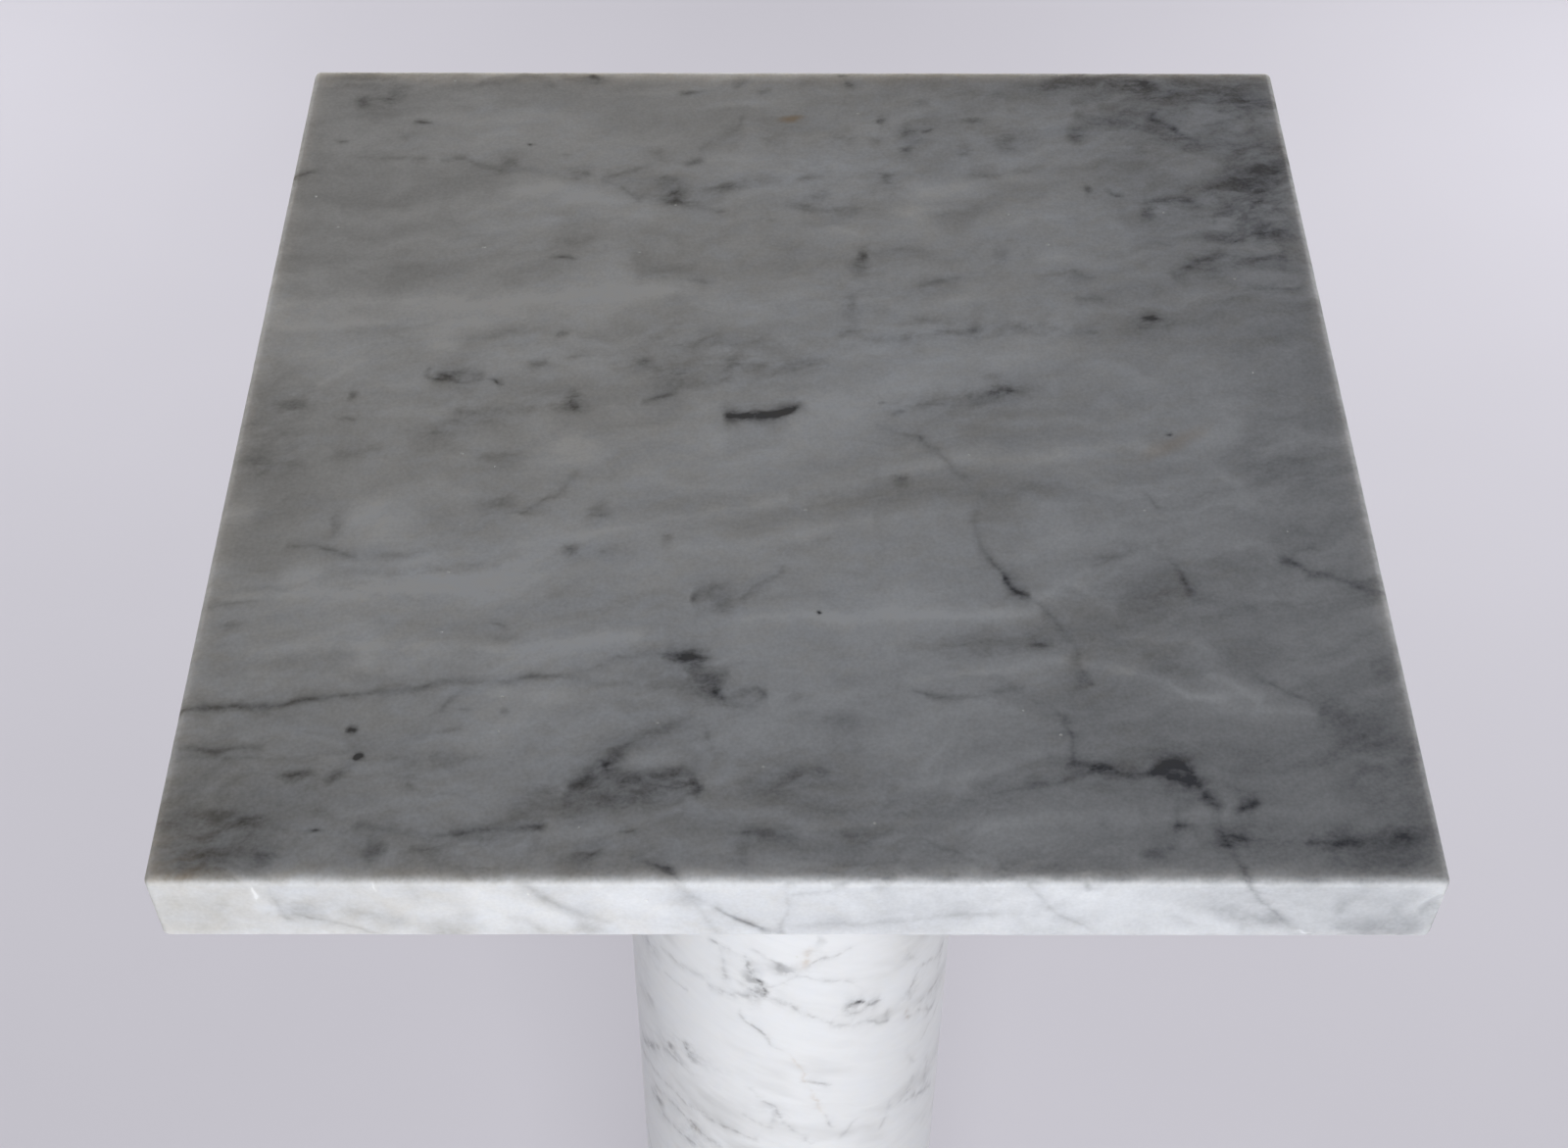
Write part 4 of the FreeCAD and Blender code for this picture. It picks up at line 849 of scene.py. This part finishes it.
def column_marble():
    graph = Surface("column_marble")
    warped = graph.shift(graph.place, 8.0, 2.6)
    x, y, z = graph.parts(warped)
    arc = graph.math("ARCTAN2", x, 0 - y) * SHAFT_MEAN_RADIUS

    rough = graph.shift(graph.place, 22.0, 5.0)
    clouds = graph.noise(graph.stretched(rough, (70, 50, 26), COLUMN_BEDDING), 1.0, 3.0)
    fine = graph.noise(graph.stretched(graph.place, (18, 12, 4), COLUMN_BEDDING), 1.0, 4.0, 0.6)
    veins = bedded_veins(graph, rough, COLUMN_BEDDING, (95, 70, 30), 0.012, (3.0, 40.0, 11.0))
    threads = bedded_veins(graph, rough, COLUMN_BEDDING, (60, 40, 22), 0.007, (70.0, 5.0, 90.0))
    wisps = (clouds - 0.52).ramp(0.0, 0.25)
    broken = graph.noise(graph.place, 4.5, 4.0, 0.6).ramp(0.36, 0.62)

    # The drawn part of the shaft, and a short way beyond it where the other veins take over.
    drawn_part = z.ramp(655.0, 700.0) * z.ramp(900.0, 880.0) * y.ramp(10.0, -5.0)
    unrolled = (arc, z, SHAFT_MAP_CORNER, SHAFT_MAP_SIDE)
    shown = drawn(graph, lines_of(SHAFT_LINES) + smudges_of(SHAFT_SMUDGES), *unrolled)
    stained = drawn(graph, lines_of(SHAFT_BROWN), *unrolled, compact=True)

    elsewhere = 1 - drawn_part
    darkness = wisps * 0.26 + (fine - 0.5) * 0.12 + 0.01
    darkness = darkness + (veins * 0.5 + threads * 0.35) * (elsewhere * 0.88 + 0.12)
    darkness = darkness + shown * drawn_part * (broken * 0.55 + 0.18)
    brown = stained * drawn_part * (broken * 0.3 + 0.1) + threads * elsewhere * clouds.ramp(0.5, 0.62) * 0.25
    grain = graph.noise(graph.place, 0.6, 1.0)
    relief = graph.noise(graph.place, 30.0, 2.0) * 0.2 + grain * 0.03
    pitted = pits(graph, graph.place, 13.0, 0.5, 0.3)
    return marble(graph, darkness, clouds * 0.6, brown, pitted, 0.3, relief)


def plinth_marble():
    graph = Surface("plinth_marble")
    rough = graph.shift(graph.place, 25.0, 5.0)
    turn = bedding_turn((0.97, 0.2, -0.14), (0.05, 0.4, 0.915))
    clouds = graph.noise(graph.stretched(rough, (110, 60, 22), turn), 1.0, 3.0, 0.55)
    fine = graph.noise(graph.stretched(graph.place, (26, 14, 4), turn), 1.0, 4.0, 0.6)
    veins = bedded_veins(graph, rough, turn, (120, 80, 30), 0.012, (20.0, 7.0, 33.0))
    threads = bedded_veins(graph, rough, turn, (70, 45, 20), 0.008, (91.0, 52.0, 7.0))
    darkness = clouds.ramp(0.42, 0.75) * 0.4 + (fine - 0.5) * 0.2 + veins * 0.5 + threads * 0.35 + 0.03
    edges = stone_edges(graph, PLINTH_HIGH.x, PLINTH_LOW.z, PLINTH_HIGH.z)
    # The underside keeps the saw's marks.
    under = graph.z.ramp(PLINTH_LOW.z + 0.6, PLINTH_LOW.z + 0.1)
    sawn = graph.noise(graph.stretched(graph.place, (200, 2.5, 200), (0, 0, 0.3)), 1.0, 2.0)
    relief = graph.noise(graph.place, 30.0, 2.0) * 0.2 + sawn * under * 1.2
    pitted = pits(graph, graph.place, 11.0, 0.6, 0.4)
    return marble(graph, darkness, clouds, threads * 0.1, pitted, 0.36, relief, edges)


def broken_marble():
    """The sugary white surface where a chip has come off."""
    graph = Surface("broken_marble")
    crystals = graph.noise(graph.place, 0.7, 3.0, 0.7)
    stain = graph.noise(graph.place, 5.0, 2.0)
    colour = graph.mix(stain.ramp(0.45, 0.75) * 0.5, (0.86, 0.87, 0.88), (0.76, 0.75, 0.72))
    return graph.principled(Base_Color=colour, Roughness=crystals * 0.2 + 0.5, Normal=graph.bump(crystals, 0.12),
                            IOR=MARBLE_IOR, **BROKEN_SUBSURFACE)


# ---------------------------------------------------------------- mastic, steel, rubber and floor


def mastic_material():
    graph = Surface("mastic")
    lumps = graph.noise(graph.place, 3.0, 3.0, 0.6)
    dirt = graph.noise(graph.place, 18.0, 2.0)
    colour = graph.mix(dirt.ramp(0.35, 0.7), (0.46, 0.44, 0.4), (0.24, 0.22, 0.19))
    return graph.principled(Base_Color=colour, Roughness=lumps * 0.3 + 0.55, Normal=graph.bump(lumps, 0.4))


def zinc_steel():
    """Zinc plating: a fine spangle, dulled in patches."""
    graph = Surface("zinc_steel")
    spangle = graph.noise(graph.place, 0.8, 2.0, 0.6)
    dull = graph.noise(graph.place, 5.0, 3.0)
    colour = graph.mix(dull.ramp(0.4, 0.7), (0.62, 0.64, 0.66), (0.4, 0.4, 0.39))
    colour = graph.mix(graph.noise(graph.place, 9.0, 4.0, 0.7).ramp(0.66, 0.78) * 0.5, colour, (0.3, 0.16, 0.08))
    rough = spangle * 0.2 + dull * 0.25 + 0.18
    return graph.principled(Base_Color=colour, Metallic=1.0, Roughness=rough, Normal=graph.bump(spangle, 0.05))


def rubber(name, shade, dust):
    """Moulded rubber with fine texture, greyed by dust."""
    graph = Surface(name)
    texture = graph.noise(graph.place, 0.5, 2.0, 0.6)
    dusty = graph.noise(graph.place, 7.0, 3.0).ramp(0.4, 0.75)
    colour = graph.mix(dusty * 0.6, shade, dust)
    return graph.principled(Base_Color=colour, Roughness=texture * 0.2 + 0.55, Normal=graph.bump(texture, 0.12))


FLOOR_COLOUR = (0.52, 0.507, 0.556)
FLOOR_UNEVENNESS = 0.03
FLOOR_GLOW = 0.3  # added where the camera, or a reflection, sees the floor, so that it is pale in a low light


def floor_material():
    graph = Surface("studio_floor")
    cloth = graph.noise(graph.place, 300.0, 2.0)
    dark, light = ([share * c for c in FLOOR_COLOUR] for share in (1 - FLOOR_UNEVENNESS, 1 + FLOOR_UNEVENNESS))
    colour = graph.mix(cloth, dark, light)
    lit = graph.node("BsdfDiffuse", {"Color": colour})
    glow = graph.node("Emission", {"Color": colour, "Strength": graph.seen_directly() * FLOOR_GLOW})
    both = graph.node("AddShader")
    graph.links.new(lit.outputs[0], both.inputs[0])
    graph.links.new(glow.outputs[0], both.inputs[1])
    return graph.finished(both)


# ---------------------------------------------------------------- meshes


SHARP_ANGLE = math.radians(38)


def smoothed(bm):
    """Smooth faces that still meet at an edge where they turn sharply."""
    for face in bm.faces:
        face.smooth = True
    for edge in bm.edges:
        edge.smooth = edge.is_manifold and edge.calc_face_angle(0) < SHARP_ANGLE
    return bm


def to_mesh(bm, name):
    bmesh.ops.recalc_face_normals(bm, faces=bm.faces)
    mesh = bpy.data.meshes.new(name)
    smoothed(bm).to_mesh(mesh)
    bm.free()
    return mesh


def add_piece(name, node, bm, materials, flat_faces=True):
    """Adds a finished form, drawn in mm, as the piece that stands for a CAD node."""
    mesh = to_mesh(bm, name)
    mesh.transform(Matrix.Scale(MM, 4))
    for material in materials:
        mesh.materials.append(material)
    piece = bpy.data.objects.new(name, mesh)
    bpy.context.scene.collection.objects.link(piece)
    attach(piece, "root")
    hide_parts(node)
    if flat_faces:  # they stay flat beside their eased edges
        piece.modifiers.new("flat faces", "WEIGHTED_NORMAL").keep_sharp = True


def lofted(rings, closed=False):
    """A mesh through rings with the same number of points; the ends are capped unless the rings close up."""
    bm = bmesh.new()
    loops = [[bm.verts.new(point) for point in ring] for ring in rings]
    pairs = list(zip(loops, loops[1:]))
    if closed:
        pairs.append((loops[-1], loops[0]))
    for lower, upper in pairs:
        for k in range(len(lower)):
            n = (k + 1) % len(lower)
            bm.faces.new((lower[k], lower[n], upper[n], upper[k]))
    if not closed:
        bm.faces.new(loops[0])
        bm.faces.new(loops[-1])
    return bm


class Outline:
    """Half of a turned section, drawn upwards as (radius, height) points, in mm."""

    def __init__(self, radius, height):
        self.points = [(Vector((radius, height)), 0.0)]

    @property
    def pen(self):
        return self.points[-1][0]

    def to(self, radius, height, ease=0.0):
        """A straight line; its end is rounded off by the ease."""
        self.points.append((Vector((radius, height)), ease))
        return self

    def up(self, height, ease=0.0):
        return self.to(self.pen.x, self.pen.y + height, ease)

    def quarter(self, reach, rise, upright_first):
        """A quarter ellipse that starts upright and ends level, or the other way round."""
        start = self.pen.copy()
        for k in range(1, QUARTER_POINTS + 1):
            angle = math.pi / 2 * k / QUARTER_POINTS
            early, late = 1 - math.cos(angle), math.sin(angle)
            out, up = (early, late) if upright_first else (late, early)
            self.to(start.x + reach * out, start.y + rise * up)
        return self

    def bead(self, height):
        half = height / 2
        return self.quarter(half, half, False).quarter(-half, half, True)

    def hollow(self, radius):
        """A concave quarter circle up to this radius: upright at its narrow end, level at its wide end."""
        reach = radius - self.pen.x
        return self.quarter(reach, abs(reach), reach > 0)

    def rounded(self):
        """The outline's points with each eased corner cut by a small curve."""
        found = []
        count = len(self.points)
        for k, (corner, ease) in enumerate(self.points):
            before, after = self.points[k - 1][0], self.points[(k + 1) % count][0]
            reach = min(ease, 0.45 * (corner - before).length, 0.45 * (after - corner).length)
            if ease == 0 or reach == 0:
                found.append(corner)
                continue
            start = corner + (before - corner).normalized() * reach
            end = corner + (after - corner).normalized() * reach
            for t in (0, 0.25, 0.5, 0.75, 1):
                found.append((1 - t) ** 2 * start + 2 * t * (1 - t) * corner + t * t * end)
        return found

    def turned(self, centre=(0, 0)):
        """The solid of the closed outline, turned once about an upright axis. Points on the axis are shared."""
        bm = bmesh.new()
        rings = []
        for radius, height in self.rounded():
            if radius < 1e-6:
                rings.append([bm.verts.new((*centre, height))])
                continue
            ring = []
            for k in range(TURNED_SEGMENTS):
                angle = 2 * math.pi * k / TURNED_SEGMENTS
                x, y = centre[0] + radius * math.cos(angle), centre[1] + radius * math.sin(angle)
                ring.append(bm.verts.new((x, y, height)))
            rings.append(ring)
        for lower, upper in zip(rings, rings[1:] + rings[:1]):
            for k in range(TURNED_SEGMENTS):
                n = (k + 1) % TURNED_SEGMENTS
                corners = [lower[k % len(lower)], lower[n % len(lower)], upper[n % len(upper)], upper[k % len(upper)]]
                unique = list(dict.fromkeys(corners))
                if len(unique) > 2:
                    bm.faces.new(unique)
        return bm


def squared_stone(half, bottom, top, arris, seed):
    """A square stone, with rounded edges that wear has made a little uneven."""
    rings = []
    for k in range(2 * ARRIS_POINTS):
        turn = math.pi / 2 * (k % ARRIS_POINTS) / (ARRIS_POINTS - 1)
        lower = k < ARRIS_POINTS
        inset = arris * (1 - math.sin(turn)) if lower else arris * (1 - math.cos(turn))
        height = bottom + arris * (1 - math.cos(turn)) if lower else top - arris * (1 - math.sin(turn))
        rings.append(squared_ring(half - inset, max(arris - inset, LEAST_CORNER_RADIUS), height))
    for ring in rings:
        for point in ring:
            away = sorted((half - abs(point.x), half - abs(point.y), min(point.z - bottom, top - point.z)))[1]
            if away < arris:
                inward = Vector((-point.x, -point.y, (bottom + top) / 2 - point.z))
                inward.z *= half / ((top - bottom) / 2)
                rough = max(0.0, noise.fractal(point * WEAR_PACE + Vector((seed, 0, 0)), 0.8, 2.0, 4))
                point += inward.normalized() * ARRIS_WEAR * rough * (1 - away / arris)
    return lofted(rings)


def squared_ring(half, radius, height):
    """Points round a square with rounded corners."""
    ring = []
    centre = half - radius
    for quarter in range(4):
        turn = Matrix.Rotation(math.pi / 2 * quarter, 3, "Z")
        for k in range(SIDE_POINTS):
            t = k / SIDE_POINTS
            ring.append(turn @ Vector((half, centre * (2 * t - 1), height)))
        for k in range(CORNER_POINTS):
            angle = math.pi / 2 * k / CORNER_POINTS
            ring.append(turn @ Vector((centre + radius * math.cos(angle), centre + radius * math.sin(angle), height)))
    return ring


def lumps(chips):
    """One mesh of rough lumps, in the places and sizes of the chips."""
    bm = bmesh.new()
    for centre, radii, *turns in chips:
        made = bmesh.ops.create_icosphere(bm, subdivisions=4, radius=1)["verts"]
        place = Matrix.Translation(centre)
        for turn in turns:
            place = place @ Euler(map(math.radians, turn)).to_matrix().to_4x4()
        place = place @ Matrix.Diagonal((*radii, 1))
        for vert in made:
            rough = sum(depth * noise.noise(vert.co * pace + Vector(centre)) for pace, depth in CHIP_ROUGHNESS)
            vert.co = place @ (vert.co * (1 + rough))
    for face in bm.faces:
        face.material_index = 1
        face.smooth = True
    return bm


def cylinder(radius, bottom, top):
    section = Outline(0, bottom).to(radius, bottom).to(radius, top).to(0, top)
    return section.turned()


def cut_away(bm, cutter, name):
    """The mesh of bm with the cutter's lumps or holes taken out of it."""
    stone = bpy.data.objects.new(name, to_mesh(bm, name))
    tool = bpy.data.objects.new(name + "_tool", to_mesh(cutter, name + "_tool"))
    for made in (stone, tool):
        bpy.context.scene.collection.objects.link(made)
        for _ in range(2):  # empty slots, so that the cut keeps each side's material number
            made.data.materials.append(None)
    modifier = stone.modifiers.new("cut", "BOOLEAN")
    modifier.operation = "DIFFERENCE"
    modifier.solver = "EXACT"
    modifier.object = tool
    bpy.context.view_layer.update()
    mesh = bpy.data.meshes.new_from_object(stone.evaluated_get(bpy.context.evaluated_depsgraph_get()))
    bpy.data.objects.remove(stone)
    bpy.data.objects.remove(tool)
    mesh.materials.clear()
    result = bmesh.new()
    result.from_mesh(mesh)
    return result


def joined(first, *others):
    """One bmesh that holds all of these."""
    for other in others:
        mesh = bpy.data.meshes.new("part")
        other.to_mesh(mesh)
        first.from_mesh(mesh)
        bpy.data.meshes.remove(mesh)
        other.free()
    return first


def chipped_stone(node, bm, cutter, materials):
    """A finished stone, with the second material where something is broken out of it."""
    add_piece(node + "_stone", node, cut_away(bm, cutter, node + "_block"), materials)


def build_stones():
    broken = broken_marble()
    column = column_marble()
    slab_cutter = joined(lumps(SLAB_CHIPS), cylinder(SLAB_HOLE_RADIUS, SLAB_BOTTOM - 1, SLAB_TOP - SLAB_CROWN))
    slab = squared_stone(SLAB_HALF, SLAB_BOTTOM, SLAB_TOP, SLAB_ARRIS, 3)
    chipped_stone("top_slab", slab, slab_cutter, (slab_marble(), broken))
    chipped_stone("capital", capital(), lumps(CAPITAL_CHIPS), (column, broken))
    chipped_stone("shaft", shaft(), lumps(SHAFT_CHIPS), (column, broken))
    add_piece("base_moulding_stone", "base_moulding", base_moulding(), (column,))
    bottom = PLINTH_LOW.z
    bore = cylinder(BORE_RADIUS, bottom + PLINTH_RECESS_DEPTH - 1, PLINTH_HIGH.z + 1)
    recess = cylinder(PLINTH_RECESS_RADIUS, bottom - 1, bottom + PLINTH_RECESS_DEPTH)
    plinth = squared_stone(PLINTH_HIGH.x, bottom, PLINTH_HIGH.z, PLINTH_ARRIS, 8)
    plinth = cut_away(plinth, bore, "plinth_bored")
    cutter = joined(lumps(PLINTH_CHIPS), recess)
    chipped_stone("plinth", plinth, cutter, (plinth_marble(), broken))


def capital():
    """Necking, annulets, ovolo and round band, with the bore and the nut's recess."""
    low, high = node_box("capital")
    recess_floor = node_box("upper_cushion_washer")[0].z
    section = Outline(BORE_RADIUS, low.z).to(SHAFT_TOP_RADIUS, low.z, STEP_EASE)
    section.up(CAPITAL_NECK_HEIGHT)
    for _ in range(ANNULETS):
        section.to(section.pen.x + ANNULET_STEP, section.pen.y, STEP_EASE).up(ANNULET_HEIGHT, STEP_EASE)
    section.quarter(OVOLO_REACH, OVOLO_RISE, False)
    section.to(high.x, section.pen.y, TURNED_EASE).to(high.x, high.z, TURNED_EASE)
    section.to(CAPITAL_RECESS_RADIUS, high.z).to(CAPITAL_RECESS_RADIUS, recess_floor)
    return section.to(BORE_RADIUS, recess_floor).turned()


def shaft():
    """Foot fillet and hollow, straight taper, then hollow, fillet and astragal at the head."""
    low, high = node_box("shaft")
    head = SHAFT_HEAD_FLARE + SHAFT_HEAD_FILLET_HEIGHT + ASTRAGAL_HEIGHT + SHAFT_LIP_HEIGHT
    section = Outline(BORE_RADIUS, low.z).to(high.x, low.z, TURNED_EASE)
    section.up(SHAFT_FOOT_FILLET_HEIGHT, TURNED_EASE).hollow(SHAFT_FOOT_RADIUS)
    section.to(SHAFT_TOP_RADIUS, high.z - head).hollow(SHAFT_TOP_RADIUS + SHAFT_HEAD_FLARE)
    section.up(SHAFT_HEAD_FILLET_HEIGHT).bead(ASTRAGAL_HEIGHT)
    return section.up(SHAFT_LIP_HEIGHT, STEP_EASE).to(BORE_RADIUS, high.z).turned()


def base_moulding():
    """Lower torus, fillet, scotia, fillet and upper torus."""
    low, high = node_box("base_moulding")
    section = Outline(BORE_RADIUS, low.z).to(high.x - LOWER_TORUS_HEIGHT / 2, low.z)
    section.bead(LOWER_TORUS_HEIGHT).up(BASE_FILLET_HEIGHT, STEP_EASE)
    section.hollow(BASE_THROAT_RADIUS).hollow(BASE_UPPER_CORE_RADIUS)
    section.up(BASE_FILLET_HEIGHT).bead(UPPER_TORUS_HEIGHT)
    return section.to(BORE_RADIUS, high.z).turned()


# ---------------------------------------------------------------- mastic, rod and feet


def mastic_bed(node, material):
    """The mastic in one joint: its edge bulges and wanders where it was squeezed out."""
    low, high = node_box(node)
    hole = MASTIC_GAP + (CAPITAL_RECESS_RADIUS if node == "slab_bed" else BORE_RADIUS)
    rings = []
    bulge = (high.x + MASTIC_BULGE, (low.z + high.z) / 2)
    profile = ((hole, low.z), (high.x, low.z), bulge, (high.x, high.z), (hole, high.z))
    for radius, height in profile:
        ring = []
        for k in range(TURNED_SEGMENTS):
            angle = 2 * math.pi * k / TURNED_SEGMENTS
            way = Vector((math.cos(angle), math.sin(angle), 0))
            wander = MASTIC_WANDER * noise.noise(way * 6 + Vector((0, 0, low.z))) if radius > hole else 0
            ring.append(way * (radius - MASTIC_INSET + wander) + Vector((0, 0, height)))
        rings.append(ring)
    add_piece(node + "_mastic", node, lofted(rings, closed=True), (material,), flat_faces=False)


def threaded_rod(material):
    """M12 studding with a real helical thread and chamfered ends."""
    low, high = node_box("tie_rod")
    crest, root = high.x, high.x - THREAD_DEPTH
    shares = ((0.0, root), (0.12, root), (0.5, crest), (0.62, crest))  # of the pitch, up one turn of the thread
    turns = math.ceil((high.z - low.z) / THREAD_PITCH) + 3
    bm = bmesh.new()
    steps = turns * THREAD_SEGMENTS
    strip = []
    for k in range(steps + 1):
        angle = 2 * math.pi * k / THREAD_SEGMENTS
        rise = low.z - 2 * THREAD_PITCH + THREAD_PITCH * k / THREAD_SEGMENTS
        strip.append([bm.verts.new((radius * math.cos(angle), radius * math.sin(angle), rise + share * THREAD_PITCH))
                      for share, radius in shares])
    for k in range(steps - THREAD_SEGMENTS + 1):
        strip[k].append(strip[k + THREAD_SEGMENTS][0])
    for k in range(steps - THREAD_SEGMENTS):
        for j in range(len(shares)):
            bm.faces.new((strip[k][j], strip[k + 1][j], strip[k + 1][j + 1], strip[k][j + 1]))
    for height, way in ((low.z, -1), (high.z, 1)):
        parts = [*bm.verts, *bm.edges, *bm.faces]
        cut = bmesh.ops.bisect_plane(bm, geom=parts, plane_co=(0, 0, height), plane_no=(0, 0, way), clear_outer=True)
        rim = [part for part in cut["geom_cut"] if isinstance(part, bmesh.types.BMEdge)]
        bmesh.ops.edgeloop_fill(bm, edges=rim)
    bmesh.ops.delete(bm, geom=[vert for vert in bm.verts if not vert.link_faces], context="VERTS")
    for vert in bm.verts:
        radius = vert.co.xy.length
        limit = crest - ROD_END_CHAMFER + min(vert.co.z - low.z, high.z - vert.co.z)
        if radius > limit:
            vert.co.xy *= limit / radius
    add_piece("tie_rod_thread", "tie_rod", bm, (material,), flat_faces=False)


def rubber_foot(node, material):
    low, high = node_box(node)
    centre = (low + high) / 2
    radius = (high.x - low.x) / 2
    section = Outline(0, low.z).to(radius - FOOT_FLARE, low.z, FOOT_EDGE)
    section.to(radius, high.z, FOOT_TOP_EDGE).to(0, high.z)
    add_piece(node + "_rubber", node, section.turned(centre.xy), (material,))


def dress(nodes, material):
    """Gives CAD nodes that keep their shape a better material."""
    for node in nodes:
        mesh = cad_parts[node].data
        mesh.materials.clear()
        mesh.materials.append(material)


def build_small_parts():
    mastic = mastic_material()
    for node in ("plinth_bed", "shaft_foot_bed", "capital_bed", "slab_bed"):
        mastic_bed(node, mastic)
    foot_rubber = rubber("foot_rubber", (0.03, 0.03, 0.032), (0.16, 0.155, 0.15))
    for node in sorted(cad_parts):
        if node.startswith("foot_"):
            rubber_foot(node, foot_rubber)
    steel = zinc_steel()
    threaded_rod(steel)
    dress(("upper_washer", "upper_nut", "lower_washer", "lower_spring_washer", "lower_nut"), steel)
    washer_rubber = rubber("washer_rubber", (0.04, 0.038, 0.036), (0.12, 0.12, 0.11))
    dress(("upper_cushion_washer", "lower_cushion_washer"), washer_rubber)


# ---------------------------------------------------------------- studio, in metres

CAMERA_PLACE = (-0.00447, -0.43367, 1.49274)
CAMERA_PITCH = 49.64  # degrees below the horizontal
CAMERA_YAW = -0.22
CAMERA_ROLL = -0.23
CAMERA_LENS = 52.31  # mm
SENSOR_WIDTH = 36  # mm
NEAREST_SEEN = 0.05

FLOOR_SIDE = 24.0
AMBIENT_LEVEL = 0.07
BACKDROP_LEVEL = 0.9
LIT_PLACE = (0, 0, 0.98)  # what the soft boxes face
# (name, place, size, level)
SOFT_BOXES = (
    ("front_box", (0.12, -2.2, 1.31), (1.2, 0.8), 1.06),
    ("left_box", (-1.4, 1.85, 1.15), (1.2, 1.2), 0.52),
    ("right_box", (1.54, 1.71, 1.15), (1.2, 1.2), 0.63),
)


def soft_box(name, place, size, level):
    """An area light that gives this level on a surface that faces it at the lit place; 1 shows colours as written."""
    way = Vector(LIT_PLACE) - Vector(place)
    lamp = bpy.data.lights.new(name, "AREA")
    lamp.shape = "RECTANGLE"
    lamp.size, lamp.size_y = size
    lamp.energy = level * math.pi**2 * way.length_squared
    holder = bpy.data.objects.new(name, lamp)
    holder.location = place
    holder.rotation_euler = way.to_track_quat("-Z", "Y").to_euler()
    holder.visible_camera = False
    bpy.context.scene.collection.objects.link(holder)


def build_studio():
    corner = FLOOR_SIDE / 2
    mesh = bpy.data.meshes.new("studio_floor")
    mesh.from_pydata([(-corner, -corner, 0), (corner, -corner, 0), (corner, corner, 0), (-corner, corner, 0)], [],
                     [(0, 1, 2, 3)])
    mesh.materials.append(floor_material())
    floor = bpy.data.objects.new("studio_floor", mesh)
    bpy.context.scene.collection.objects.link(floor)

    for box in SOFT_BOXES:
        soft_box(*box)

    world = bpy.data.worlds.new("studio")
    graph = Graph(world)
    ambient = graph.node("Background", {"Color": (1, 1, 1, 1), "Strength": AMBIENT_LEVEL})
    backdrop = graph.node("Background", {"Color": (*FLOOR_COLOUR, 1), "Strength": BACKDROP_LEVEL})
    chosen = graph.node("MixShader", {"Fac": graph.seen_directly()})
    graph.links.new(ambient.outputs[0], chosen.inputs[1])
    graph.links.new(backdrop.outputs[0], chosen.inputs[2])
    graph.links.new(chosen.outputs[0], graph.node("OutputWorld").inputs["Surface"])
    bpy.context.scene.world = world
    bpy.context.scene.view_settings.view_transform = "Standard"


def build_camera():
    lens = bpy.data.cameras.new("camera")
    lens.lens = CAMERA_LENS
    lens.sensor_width = SENSOR_WIDTH
    lens.clip_start = NEAREST_SEEN
    camera = bpy.data.objects.new("camera", lens)
    bpy.context.scene.collection.objects.link(camera)
    turn = Matrix.Rotation(math.radians(CAMERA_YAW), 4, "Z")
    turn = turn @ Matrix.Rotation(math.radians(90 - CAMERA_PITCH), 4, "X")
    turn = turn @ Matrix.Rotation(math.radians(-CAMERA_ROLL), 4, "Z")
    camera.matrix_world = Matrix.Translation(CAMERA_PLACE) @ turn
    bpy.context.scene.camera = camera


build_camera()
build_studio()
build_stones()
build_small_parts()
